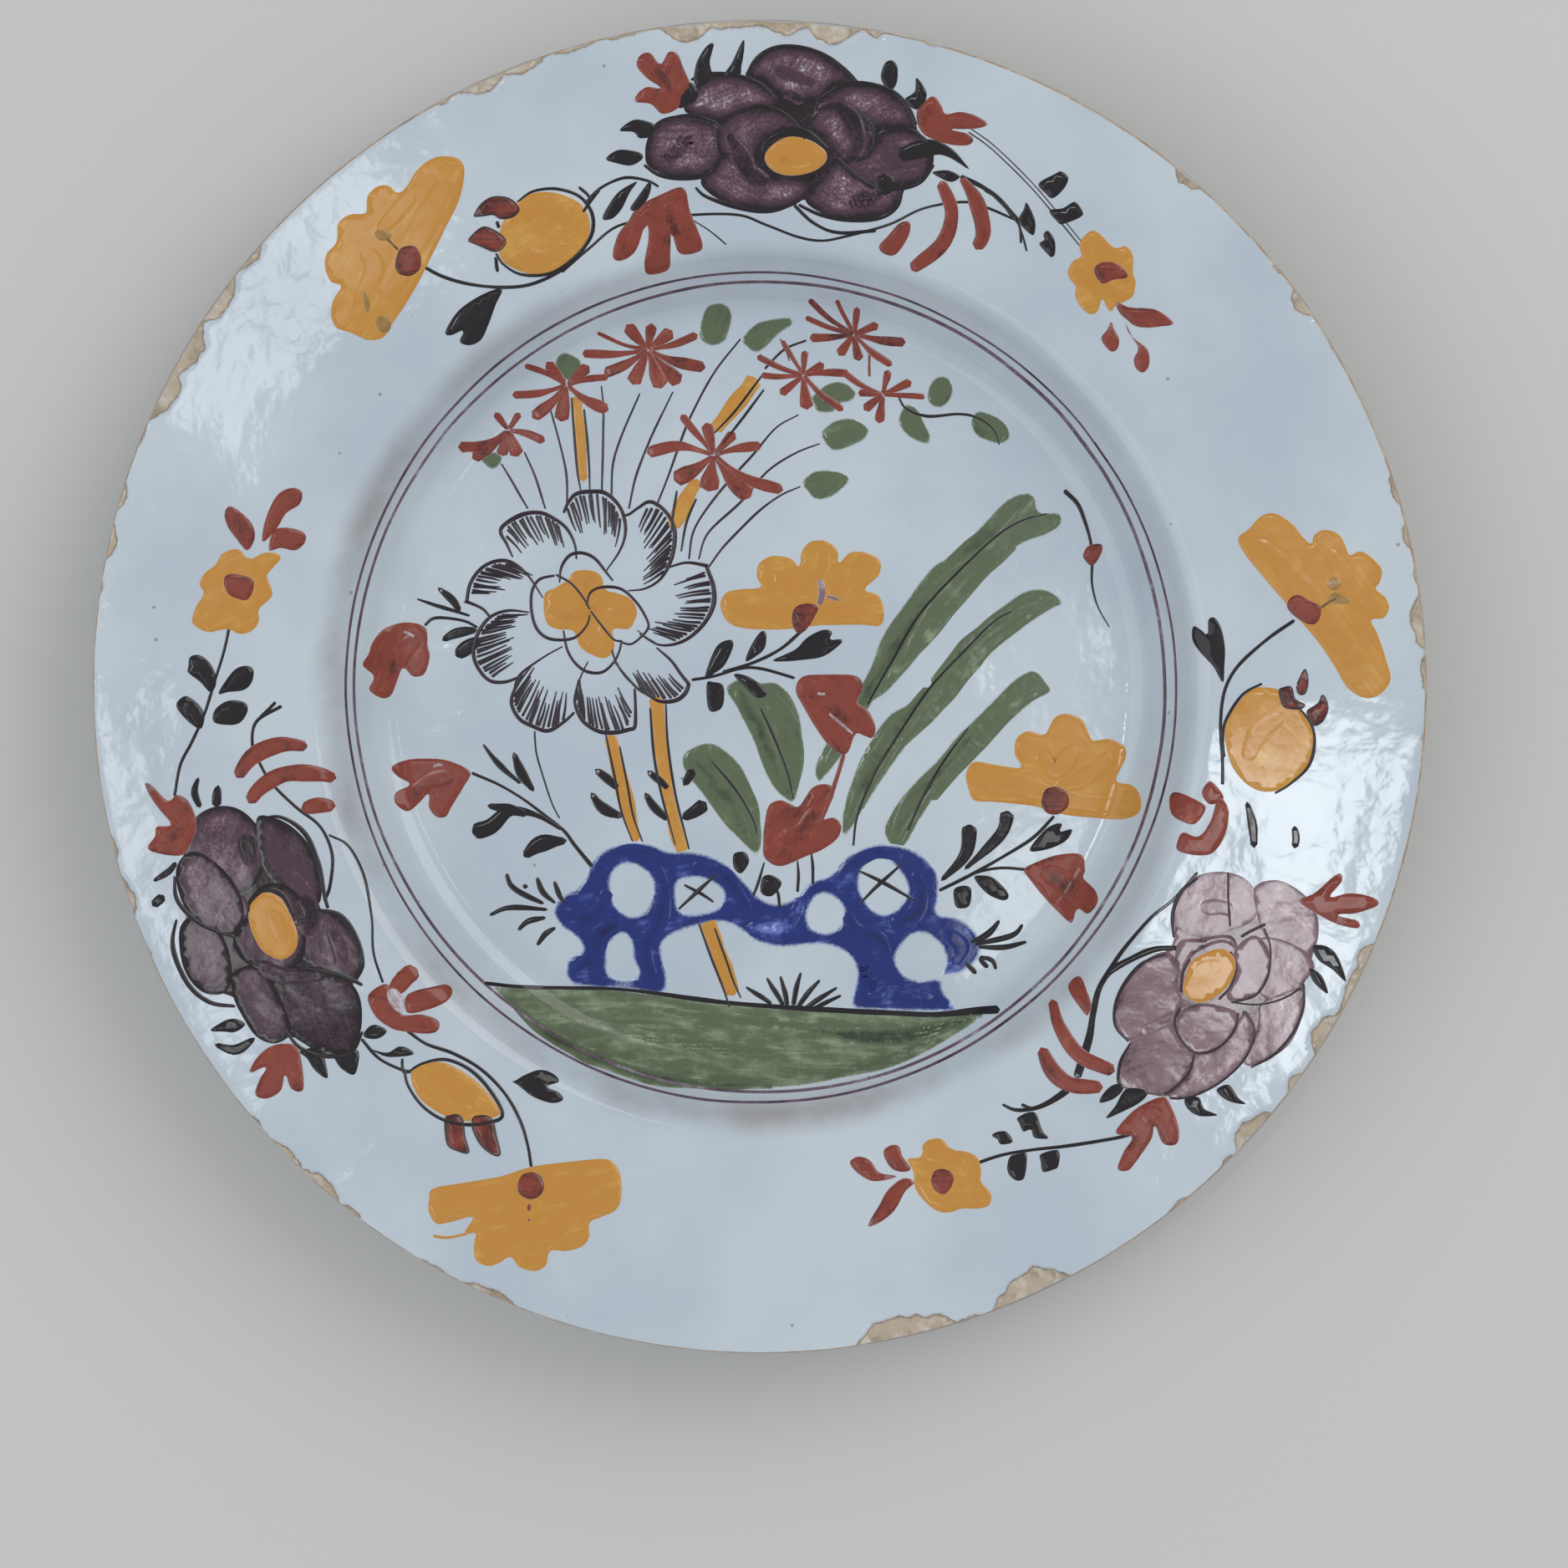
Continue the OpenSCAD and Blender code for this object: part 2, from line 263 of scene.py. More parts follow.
def face_height(r, index):
    """Heights of one ring of the face, with the glaze broken off at the chips, and how far in mm each
    point lies within bare clay"""
    z = np.interp(r, face_r, face_z) + ring_unevenness(r)
    inside_chip = bare - (rim_r - r)
    share = np.clip(inside_chip / 0.5 + 0.5, 0, 1)
    broken = GLAZE_STEP + CHIP_DISH * np.clip(inside_chip, 0, None) + CHIP_GRIT * grit[index % GRIT_ROWS]
    return z - share * broken, inside_chip


face_heights, face_bare = zip(*[face_height(r, i) for i, r in enumerate(face_rings)])
face_grid = np.array(face_heights)


def on_face(x, y):
    """Height in mm of the meshed face at any points"""
    r, turn = np.hypot(x, y), np.arctan2(y, x) % (2 * np.pi)
    row = np.clip(np.searchsorted(face_rings, r) - 1, 0, len(face_rings) - 2)
    down = np.clip((r - face_rings[row]) / (face_rings[row + 1] - face_rings[row]), 0, 1)
    place = turn / (2 * np.pi) * SEGMENTS
    left = np.floor(place).astype(int) % SEGMENTS
    across, right = place - np.floor(place), (left + 1) % SEGMENTS
    inner = face_grid[row, left] * (1 - across) + face_grid[row, right] * across
    outer = face_grid[row + 1, left] * (1 - across) + face_grid[row + 1, right] * across
    return inner * (1 - down) + outer * down


# ---- Materials --------------------------------------------------------------------------------

class Look:
    """A material and a short way to add nodes to it"""

    def __init__(self, name, roughness, coat=0.0):
        self.material = bpy.data.materials.new(name)
        self.material.use_nodes = True
        self.nodes, self.links = self.material.node_tree.nodes, self.material.node_tree.links
        self.shader = self.nodes["Principled BSDF"]
        self.shader.inputs["Roughness"].default_value = roughness
        self.shader.inputs["Coat Weight"].default_value = coat
        self.shader.inputs["Coat Roughness"].default_value = 0.05

    def put(self, socket, value):
        """Links an output to a socket, or sets the socket's own value"""
        if isinstance(value, bpy.types.NodeSocket):
            self.links.new(value, socket)
        elif value is not None:
            socket.default_value = value

    def node(self, kind, out=0, settings=None, **inputs):
        """One output of a new node, from its settings and what goes into it"""
        made = self.nodes.new(kind)
        for key, value in (settings or {}).items():
            setattr(made, key, value)
        for key, value in inputs.items():
            self.put(made.inputs[key], value)
        return made.outputs[out]

    def math(self, work, a, b=None, c=None):
        """The result of a math node"""
        made = self.nodes.new("ShaderNodeMath")
        made.operation = work
        for socket, value in zip(made.inputs, (a, b, c)):
            self.put(socket, value)
        return made.outputs[0]

    def place(self):
        """Where a point of the piece is, in metres"""
        return self.node("ShaderNodeTexCoord", "Object")

    def named(self, name, out="Fac"):
        """A named value that the mesh has at its points"""
        return self.node("ShaderNodeAttribute", out, {"attribute_name": name})

    def noise(self, scale, where=None, detail=3.0, roughness=0.55):
        """A soft noise from 0 to 1, with about scale waves to a metre"""
        return self.node("ShaderNodeTexNoise", "Fac", Vector=where or self.place(), Scale=scale,
                         Detail=detail, Roughness=roughness)

    def between(self, value, low, high, smooth=True, to=(0.0, 1.0)):
        """A value that rises from to[0] at low to to[1] at high"""
        made = self.nodes.new("ShaderNodeMapRange")
        if smooth:
            made.interpolation_type = "SMOOTHSTEP"
        for key, item in (("Value", value), ("From Min", low), ("From Max", high),
                          ("To Min", to[0]), ("To Max", to[1])):
            self.put(made.inputs[key], item)
        return made.outputs[0]

    def mix(self, share, a, b):
        """A colour that goes from a to b as share goes from 0 to 1"""
        made = self.nodes.new("ShaderNodeMix")
        made.data_type = "RGBA"
        for socket, value in ((made.inputs[0], share), (made.inputs[6], a), (made.inputs[7], b)):
            self.put(socket, value)
        return made.outputs[2]

    def mix_number(self, share, a, b):
        """A number that goes from a to b as share goes from 0 to 1"""
        return self.math("MULTIPLY_ADD", share, self.math("SUBTRACT", b, a), a)

    def bump(self, height, distance, strength=1.0, under=None):
        """The surface's direction bent by a height, where 1 is a distance in metres. under is the
        bump that it comes on top of"""
        made = self.nodes.new("ShaderNodeBump")
        made.inputs["Distance"].default_value = distance
        made.inputs["Strength"].default_value = strength
        self.put(made.inputs["Height"], height)
        self.put(made.inputs["Normal"], under)
        return made.outputs[0]


def radius_from_middle(look):
    """How far a point of the dish is from its middle"""
    flat = look.nodes.new("ShaderNodeVectorMath")
    flat.operation = "MULTIPLY"
    look.put(flat.inputs[0], look.place())
    flat.inputs[1].default_value = (1, 1, 0)
    length = look.nodes.new("ShaderNodeVectorMath")
    length.operation = "LENGTH"
    look.put(length.inputs[0], flat.outputs[0])
    return length.outputs["Value"]


def glaze_colour(look):
    """Pale blue-white glaze: cloudy, with a few specks, and at the well's shoulder a stain that also holds
    painted shade, strongest at the lower left"""
    cloud = look.between(look.noise(22.0, detail=4.0), 0.35, 0.68)
    tone = look.mix(cloud, GLAZE_DEEP, GLAZE)
    radius = radius_from_middle(look)
    # Round the well's shoulder: stain with painted shade in it, darkest towards the lower left
    starts, full, fades, ends = STAIN_AND_SHADE_RADII
    inner = look.between(radius, starts, full)
    outer = look.between(radius, ends, fades)
    patch = look.between(look.noise(30.0, detail=5.0, roughness=0.6), 0.28, 0.72)
    side = look.nodes.new("ShaderNodeSeparateXYZ")
    look.put(side.inputs[0], look.place())
    lean = look.between(look.math("ADD", side.outputs[0], side.outputs[1]), 0.11, -0.11, to=(0.15, 0.66))
    stain_and_shade = look.math("MULTIPLY", look.math("MULTIPLY", inner, outer), patch)
    tone = look.mix(look.math("MULTIPLY", stain_and_shade, lean), tone, GLAZE_STAIN_AND_SHADE)
    cells = look.nodes.new("ShaderNodeTexVoronoi")
    cells.inputs["Scale"].default_value = 105.0
    look.put(cells.inputs["Vector"], look.place())
    chosen = look.node("ShaderNodeSeparateColor", 0, Color=cells.outputs["Color"])
    size = look.between(chosen, 0.55, 1.0, smooth=False, to=(0.0, 0.062))
    speck = look.math("LESS_THAN", cells.outputs["Distance"], size)
    return look.mix(look.math("MULTIPLY", speck, 0.55), tone, SPECK)


def glaze_bump(look, under=None):
    """The gentle orange peel of the fired glaze, and its pinholes"""
    peel = look.bump(look.noise(230.0, detail=2.0, roughness=0.5), 0.000046, under=under)
    swell = look.bump(look.noise(60.0, detail=2.0, roughness=0.5), 0.00013, under=peel)
    pits = look.nodes.new("ShaderNodeTexVoronoi")
    pits.inputs["Scale"].default_value = 210.0
    look.put(pits.inputs["Vector"], look.place())
    chosen = look.node("ShaderNodeSeparateColor", 1, Color=pits.outputs["Color"])
    size = look.between(chosen, 0.70, 1.0, smooth=False, to=(0.0, 0.07))
    pit = look.between(look.math("SUBTRACT", pits.outputs["Distance"], size), -0.02, 0.02)
    return look.bump(pit, 0.00008, 0.8, under=swell)


def clay_colour(look):
    """Buff earthenware, mottled where dirt has gone into it, and redder on the very edge of the rim"""
    soil = look.between(look.noise(150.0, detail=6.0, roughness=0.7), 0.44, 0.66)
    tone = look.mix(look.math("MULTIPLY", soil, 0.6), CLAY, CLAY_DARK)
    pale = look.between(look.noise(330.0, detail=4.0), 0.48, 0.66)
    tone = look.mix(look.math("MULTIPLY", pale, 0.75), tone, CLAY_PALE)
    worn = look.math("MULTIPLY_ADD", look.noise(260.0, detail=3.0), 0.0016, radius_from_middle(look))
    return look.mix(look.between(worn, *RED_EDGE), tone, CLAY_EDGE)


def glaze_look(name, worn):
    """Glaze over clay. Where worn is true, the points' "bare" value in mm shows the clay"""
    look = Look(name, GLAZE_ROUGH, coat=0.1)
    tone = glaze_colour(look)
    normal = glaze_bump(look)
    if worn:
        fray = look.math("MULTIPLY_ADD", look.noise(620.0, detail=5.0, roughness=0.7), 1.6, -0.8)
        reach = look.math("ADD", look.named("bare"), fray)
        share = look.between(reach, -0.10, 0.16)
        near = look.between(reach, -0.9, 0.1)
        tone = look.mix(look.math("MULTIPLY", near, 0.30), tone, GLAZE_STAIN_AND_SHADE)
        lip = look.math("MULTIPLY", look.between(reach, 0.75, 0.15), 0.55)
        tone = look.mix(share, tone, look.mix(lip, clay_colour(look), CLAY_DARK))
        rough = look.between(share, 0.0, 1.0, smooth=False, to=(GLAZE_ROUGH, CLAY_ROUGH))
        look.put(look.shader.inputs["Roughness"], rough)
        cover = look.between(share, 0.0, 1.0, smooth=False, to=(0.1, 0.0))
        look.put(look.shader.inputs["Coat Weight"], cover)
        crumb = look.noise(900.0, detail=6.0, roughness=0.75)
        normal = look.bump(look.math("MULTIPLY", crumb, share), 0.0004, 1.0, under=normal)
    look.put(look.shader.inputs["Base Color"], tone)
    look.put(look.shader.inputs["Normal"], normal)
    return look.material


def clay_look(name):
    """Bare clay. At the rim, glaze still covers the lower half of the edge"""
    look = Look(name, 0.88)
    parts = look.nodes.new("ShaderNodeSeparateXYZ")
    look.put(parts.inputs[0], look.place())
    height = look.math("MULTIPLY_ADD", look.noise(160.0, detail=5.0, roughness=0.6), 0.006,
                       parts.outputs[2])
    bare_from, glazed_to = WORN_HEIGHTS[1], WORN_HEIGHTS[0]
    covered = look.math("MULTIPLY", look.between(height, bare_from, glazed_to),
                        look.between(radius_from_middle(look), 0.1600, 0.1610))
    look.put(look.shader.inputs["Base Color"], look.mix(covered, clay_colour(look), glaze_colour(look)))
    look.put(look.shader.inputs["Roughness"], look.between(covered, 0.0, 1.0, smooth=False,
                                                           to=(0.88, 0.10)))
    grains = look.bump(look.noise(700.0, detail=6.0, roughness=0.75), 0.00025)
    look.put(look.shader.inputs["Normal"], grains)
    return look.material


STREAKS = {"green": 0.40}       # how many brush streaks there are to a mm of width, where it isn't 1.1


def pigment_look(key):
    """Brushed pigment in the glaze: its density comes from the brush, and thin paint shows the glaze"""
    kind = PIGMENTS[key]
    look = Look(key, kind.roughness, coat=0.1)
    brush = look.named("brush", "Vector")
    load = look.named("load")
    parts = look.nodes.new("ShaderNodeSeparateXYZ")
    look.put(parts.inputs[0], brush)
    along, across, edge = parts.outputs
    lane = look.nodes.new("ShaderNodeCombineXYZ")
    look.put(lane.inputs[0], look.math("MULTIPLY", along, 0.09))
    look.put(lane.inputs[1], look.math("MULTIPLY", across, STREAKS.get(key, 1.1)))
    look.put(lane.inputs[2], look.math("MULTIPLY", load, 37.0))
    streak = look.math("SUBTRACT", look.noise(1.0, lane.outputs[0], detail=3.0), 0.5)
    blotch = look.math("SUBTRACT", look.noise(170.0, detail=3.0), 0.5)
    fine = look.math("SUBTRACT", look.noise(1500.0, detail=2.0), 0.5)
    under = look.named("under")
    rim = look.math("MULTIPLY", look.between(edge, 0.75, 0.1), look.math("SUBTRACT", 1.0, under))
    density = look.math("MULTIPLY_ADD", rim, kind.gather, load)
    width = look.math("MULTIPLY_ADD", under, OVERLAP_FADE, kind.fade)
    inwards = look.between(look.math("MULTIPLY_ADD", fine, kind.fade * 0.6, edge), 0.0, width)
    density = look.mix_number(inwards, under, density)
    density = look.math("MULTIPLY_ADD", streak, kind.streaks * 2.2, density)
    density = look.math("MULTIPLY_ADD", blotch, kind.blotches * 2.0, density)
    density = look.math("MULTIPLY_ADD", fine, kind.grain * 1.6, density)
    tone = look.mix(look.between(density, 0.15, 0.80), colour(kind.thin), colour(kind.usual))
    tone = look.mix(look.between(density, 0.95, 1.8), tone, colour(kind.thick))
    shown = look.math("MAXIMUM", inwards, look.between(under, 0.0, 0.3))
    cover = look.math("MULTIPLY", shown, look.between(density, -0.05, 0.3))
    look.put(look.shader.inputs["Base Color"], look.mix(cover, glaze_colour(look), tone))
    look.put(look.shader.inputs["Normal"], glaze_bump(look))
    return look.material


LOOKS = {}


def look_of(key):
    """The material of a pigment, made when it is first asked for"""
    if key not in LOOKS:
        LOOKS[key] = pigment_look(key)
    return LOOKS[key]


# ---- Brushwork --------------------------------------------------------------------------------

def smooth_line(points, step, closed=False):
    """Points at even steps along a smooth curve through given points, and its length. A point
    given twice is a corner"""
    p = np.asarray(points, float)
    count = len(p)
    if closed:
        p = np.concatenate([p[-1:], p, p[:2]])
        spans = count
    else:
        p = np.concatenate([2 * p[:1] - p[1:2], p, 2 * p[-1:] - p[-2:-1]])
        spans = count - 1
    t = np.linspace(0, 1, 13)[:-1, None]
    bits = []
    for i in range(spans):
        a, b, c, d = p[i:i + 4]
        bits.append(0.5 * (2 * b + (c - a) * t + (2 * a - 5 * b + 4 * c - d) * t ** 2
                           + (3 * b - a - 3 * c + d) * t ** 3))
    line = np.concatenate(bits + [p[spans:spans + 1] if closed else p[-2:-1]])
    if closed:
        line[-1] = line[0]
    gaps = np.hypot(*np.diff(line, axis=0).T)
    keep = np.concatenate([[True], gaps > 1e-9])
    line, reach = line[keep], np.concatenate([[0], np.cumsum(gaps[gaps > 1e-9])])
    number = max(int(round(reach[-1] / step)), 4)
    spots = np.linspace(0, reach[-1], number + 1)
    even = np.stack([np.interp(spots, reach, line[:, 0]), np.interp(spots, reach, line[:, 1])], 1)
    return (even[:-1] if closed else even), reach[-1]


def wander(count, step, wave, size):
    """A smooth random wander along a stroke: a wave length in mm and a size"""
    knots = max(int(count * step / wave), 1) + 3
    values = random.uniform(-size, size, knots)
    return np.interp(np.linspace(0, knots - 1, count), np.arange(knots), values)


def inside(points, loop):
    """True for each point that lies in a closed loop"""
    x, y = points[:, 0][:, None], points[:, 1][:, None]
    a, b = loop, np.roll(loop, -1, axis=0)
    rises = (a[:, 1] > y) != (b[:, 1] > y)
    slope = (b[:, 0] - a[:, 0]) / np.where(b[:, 1] == a[:, 1], 1e-9, b[:, 1] - a[:, 1])
    return (rises & (x < a[:, 0] + slope * (y - a[:, 1]))).sum(1) % 2 == 1


def edge_distance(points, loops):
    """Distance in mm from each point to the nearest of the loops"""
    best = np.full(len(points), 1e9)
    for loop in loops:
        a, b = loop, np.roll(loop, -1, axis=0)
        d = b - a
        t = ((points[:, None] - a) * d).sum(-1) / np.maximum((d * d).sum(-1), 1e-12)
        near = a + np.clip(t, 0, 1)[..., None] * d
        best = np.minimum(best, np.hypot(*(points[:, None] - near).transpose(2, 0, 1)).min(1))
    return best


OVERLAP_FADE = 1.6      # how softly in mm a stroke blends into the wash that it is laid over
SUNK = 0.03             # how far in mm an edge of paint dips under the face of the glaze
STACK = 0.003           # how much higher in mm each later stroke of a piece lies
STACKED = 12            # how many strokes lie one above the other before that starts again
BROAD = 2.2             # the width in mm from which a stroke has seven lanes of points, not five
THINNEST = 0.015        # half the width in mm at the very tip of a stroke


class Paint:
    """The brushwork of one motif in one pigment, gathered into one piece of thin raised paint"""

    def __init__(self, name, pigment, lift=0.04, ramp=0.16):
        self.name, self.pigment, self.lift, self.ramp = name, pigment, lift, ramp
        self.points, self.faces, self.brush, self.load, self.under = [], [], [], [], []
        self.count, self.coats = 0, 0
        self.below = 0.0

    def add(self, flat, rise, faces, brush, load):
        """Lays points on the face of the dish; rise is 0 at an edge of the paint and 1 within it"""
        top = self.lift + STACK * (self.coats % STACKED)
        if self.below:
            rise = np.maximum(rise, (self.lift + SUNK - 0.004) / (top + SUNK))
        z = on_face(flat[:, 0], flat[:, 1]) + rise * (top + SUNK) - SUNK
        self.points.append(np.column_stack([flat, z]) * MM)
        self.faces += [tuple(int(v) + self.count for v in face) for face in faces]
        self.brush.append(brush)
        self.load.append(np.broadcast_to(load, len(flat)) + 0.0)
        self.under.append(np.full(len(flat), self.below))
        self.count += len(flat)
        self.coats += 1

    def stroke(self, points, width, load=1.0, shake=0.06, square=False, over=0.0):
        """One brush stroke along a curve. width is one number or a list of them from start to end.
        over is the load of a wash of the same pigment that the stroke is laid on"""
        self.below = over
        widths = np.atleast_1d(np.asarray(width, float))
        widest = widths.max()
        step = min(max(widest * 0.35, 0.35), 1.1)
        line, length = smooth_line(points, step)
        count = len(line)
        share = np.linspace(0, 1, count)
        half = np.interp(share, np.linspace(0, 1, len(widths)), widths) / 2 if len(widths) > 1 \
            else np.full(count, widest / 2)
        if len(widths) > 2:
            soft = np.pad(half, 2, mode="edge")
            half = sum(soft[i:i + count] for i in range(5)) / 5
        half = half * (1 + wander(count, step, 6.0, shake * 1.6))
        along = share * length
        from_end = np.minimum(along, length - along)
        cap = np.clip(from_end / np.maximum(half * (0.35 if square else 1.0), 0.05), 0, 1)
        half = np.maximum(half * np.sqrt(np.clip(1 - (1 - cap) ** 2, 0, 1)), THINNEST)
        ahead = np.gradient(line, axis=0)
        ahead /= np.maximum(np.hypot(*ahead.T)[:, None], 1e-9)
        side = np.stack([-ahead[:, 1], ahead[:, 0]], 1)
        line = line + side * wander(count, step, 9.0, shake * min(widest, 1.5))[:, None]
        inner = max(1 - 2 * self.ramp / widest, 0.55)
        middle = [0] if widest < BROAD else [-0.45, 0, 0.45]
        lanes = np.array([-1, -inner, *middle, inner, 1], float)
        flat = line[:, None] + side[:, None] * (half[:, None] * lanes)[..., None]
        rise = np.broadcast_to((np.abs(lanes) < 0.999).astype(float), (count, len(lanes))).copy()
        rise[0] = rise[-1] = 0
        edge = np.minimum(half[:, None] * (1 - np.abs(lanes)), from_end[:, None] + 0.02)
        across = half[:, None] * lanes
        brush = np.stack([np.broadcast_to(along[:, None], edge.shape), across, edge], -1).reshape(-1, 3)
        n = len(lanes)
        i, j = np.meshgrid(np.arange(count - 1), np.arange(n - 1), indexing="ij")
        faces = np.stack([i * n + j + 1, i * n + j, (i + 1) * n + j, (i + 1) * n + j + 1],
                         -1).reshape(-1, 4)
        weight = load + wander(count, step, 12.0, 0.10)
        loads = np.broadcast_to(weight[:, None], edge.shape).reshape(-1)
        self.add(flat.reshape(-1, 2), rise.reshape(-1), faces, brush, loads)

    def strokes(self, items, **how):
        """Strokes one after another, from (points, width, load) for each"""
        for points, width, load in items:
            self.stroke(points, width, load, **how)

    def shape(self, outline, load=1.0, turn=0.0, holes=(), grid=1.5, over=0.0):
        """A filled patch of paint inside a smooth outline. turn is the direction of the brush in
        degrees, grid the distance in mm between its points, and over as in stroke"""
        self.below = over
        loops = [self.edge_of(loop) for loop in (outline, *holes)]
        low, high = loops[0].min(0), loops[0].max(0)
        inset = []
        for k, loop in enumerate(loops):
            ahead = np.roll(loop, -1, axis=0) - np.roll(loop, 1, axis=0)
            ahead /= np.maximum(np.hypot(*ahead.T)[:, None], 1e-9)
            area = (loop[:, 0] * np.roll(loop[:, 1], -1) - loop[:, 1] * np.roll(loop[:, 0], -1)).sum()
            inward = np.stack([-ahead[:, 1], ahead[:, 0]], 1) * (1 if (area > 0) == (k == 0) else -1)
            inset.append(loop + inward * self.ramp)
        x, y = np.meshgrid(np.arange(low[0], high[0], grid), np.arange(low[1], high[1], grid * 0.87))
        x = x + (np.arange(x.shape[0]) % 2)[:, None] * grid / 2
        middle = np.stack([x.ravel(), y.ravel()], 1)
        middle = middle + random.uniform(-0.08, 0.08, middle.shape) * grid
        spare = np.concatenate([np.concatenate(inset), middle])
        distance = edge_distance(spare, loops)
        near = np.arange(len(spare)) < len(spare) - len(middle)
        good = inside(spare, loops[0]) & (distance > np.where(near, self.ramp * 0.8, grid * 0.45))
        for hole in loops[1:]:
            good &= ~inside(spare, hole)
        flat = np.concatenate(loops + [spare[good]])
        edges, start = [], 0
        for loop in loops:
            n = len(loop)
            edges += [(start + i, start + (i + 1) % n) for i in range(n)]
            start += n
        made = delaunay_2d_cdt([Vector(p) for p in flat], edges, [], 1, 1e-5)
        flat = np.array([tuple(v) for v in made[0]])
        faces = np.array([f for f in made[2] if len(f) == 3])
        centre = flat[faces].mean(1)
        keep = inside(centre, loops[0])
        for hole in loops[1:]:
            keep &= ~inside(centre, hole)
        edge = edge_distance(flat, loops)
        rise = np.clip(edge / (self.ramp * 0.75), 0, 1)
        c, s = math.cos(math.radians(turn)), math.sin(math.radians(turn))
        brush = np.stack([flat[:, 0] * c + flat[:, 1] * s, flat[:, 1] * c - flat[:, 0] * s, edge], 1)
        self.add(flat, rise, faces[keep], brush, load)

    def edge_of(self, outline):
        """Even points round a given outline, a little unsteady"""
        small = np.ptp(np.asarray(outline, float), axis=0).max() < 14
        step = 0.45 if small else 0.7
        loop, _ = smooth_line(outline, step, closed=True)
        sway = np.stack([wander(len(loop), step, 5.0, 0.10), wander(len(loop), step, 5.0, 0.10)], 1)
        past = np.arange(len(loop))
        fold = np.clip(past / 6, 0, 1) * np.clip((len(loop) - past) / 6, 0, 1)
        return loop + sway * fold[:, None]

    def done(self, *nodes):
        """Makes the piece, which stands for these CAD nodes"""
        made = new_object(self.name, np.concatenate(self.points), self.faces,
                          {"load": np.concatenate(self.load), "under": np.concatenate(self.under)},
                          {"brush": np.concatenate(self.brush)})
        made.data.materials.append(look_of(self.pigment))
        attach(made, "root")
        if nodes:
            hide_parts(*nodes)


def ray_flower(paint, centre, rays):
    """A spider-like flower: each ray is (tip x, tip y, width at the tip, sideways bend)"""
    cx, cy = centre
    for x, y, width, bend in rays:
        mid = ((cx + x) / 2 - (y - cy) * bend, (cy + y) / 2 + (x - cx) * bend)
        paint.stroke([(cx, cy), mid, (x, y)], [1.4, 1.2, width * 0.95, width * 1.08, width * 0.95],
                     random.uniform(0.8, 1.2), square=True)


def hatching(paint, outer, centre, count, depth, lean):
    """Fine strokes from the outer edge of a petal towards its heart, or a share of lean past it"""
    line, _ = smooth_line(outer, 0.3)
    for k in range(count):
        share = (k + 0.5 + random.uniform(-0.25, 0.25)) / count
        x, y = line[int(share * (len(line) - 1))]
        x, y = x + random.uniform(-0.2, 0.2), y + random.uniform(-0.2, 0.2)
        dx, dy = centre[0] - x, centre[1] - y
        far = math.hypot(dx, dy)
        dx, dy = dx / far, dy / far
        dx, dy = dx - dy * lean, dy + dx * lean
        reach = depth * random.uniform(0.75, 1.25) * (0.75 + 0.25 * math.sin(math.pi * share))
        bow = random.uniform(-0.25, 0.25)
        mid = (x + dx * reach * 0.5 - dy * bow, y + dy * reach * 0.5 + dx * bow)
        paint.stroke([(x, y), mid, (x + dx * reach, y + dy * reach)], [0.85, 0.75, 0.6, 0.35],
                     random.uniform(1.1, 1.6))


# ---- The dish itself --------------------------------------------------------------------------

def turned(name, rows, material, nodes, chipped=None, down=False):
    """A turned piece of the dish from its rings, which stands for these CAD nodes. chipped is how
    far in mm each point lies within bare clay. down is true for a piece that faces down"""
    points, faces = spun(rows)
    values = None if chipped is None else {"bare": np.concatenate(chipped)}
    made = new_object(name, points, faces[:, ::-1] if down else faces, values)
    made.data.materials.append(material)
    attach(made, "root")
    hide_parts(*nodes)


def ring(r):
    """One radius for every segment"""
    return np.full(SEGMENTS, float(r))


# Face: the glaze over the painted side, broken off at the chips along the rim
turned("face_glaze_coat", [(ring(r), z) for r, z in zip(face_rings, face_grid)],
       glaze_look("tin_glaze_face", True), ["face_glaze"], face_bare)

# Lip: worn bare clay round the edge, uneven where chips have broken away
LIP_ROWS = 8
LIP_SHORT = 0.35        # how far in mm the lip stays inside the full radius of the rim
last_r, last_z = face_rings[-1], face_grid[-1]
under_r = back_side[-1][0]
under_z = np.interp(under_r, back_r, back_z) + ring_unevenness(ring(under_r))
chip_bite = np.clip(bare - 2.0, 0, 5) * 0.16
rows = []
for i in range(LIP_ROWS + 1):
    share = i / LIP_ROWS
    sweep = math.sin(math.pi * share)
    r = last_r + (under_r - last_r) * share + sweep * (rim_r - LIP_SHORT - max(last_r, under_r))
    bite = sweep * (chip_bite + 0.05 * grit[i]) + 0.02
    rows.append((r - bite, last_z * (1 - share) + under_z * share - 0.05 * sweep * grit[i + 9]))
turned("lip_clay", rows, clay_look("fired_clay_lip"), ["clay_flange"])

# Foot ring: turned clay below the underside, with the marks of the turning tool
foot_mid = (foot_in + foot_out) / 2
inner_top = base_z + 0.6
outer_top = float(np.interp(foot_out + 1.5, back_r, back_z)) + 0.3
profile = [(foot_in - 1.6, inner_top), (foot_in - 0.9, base_z - 0.7), (foot_in - 0.5, 3.2),
           (foot_in - 0.2, 1.1), (foot_in + 0.35, 0.35), (foot_in + 1.0, 0.04), (foot_mid, 0.0),
           (foot_out - 1.0, 0.04), (foot_out - 0.35, 0.35), (foot_out + 0.15, 1.2), (foot_out + 0.4, 3.2),
           (foot_out + 0.7, outer_top - 1.2), (foot_out + 1.8, outer_top)]
foot_rows = []
for k, (r, z) in enumerate(profile):
    low = min(z / 1.2, 1.0)
    radii = ring(r) + low * 0.10 * ragged(turns, 3.0 + k * 0.2, (5, 11, 29))
    worn = (1 - low) * 0.02 * (1 + ragged(turns, 9.0, (7, 31)))
    foot_rows.append((radii, np.maximum(z + low * ring_unevenness(radii) + worn, 0.0)))
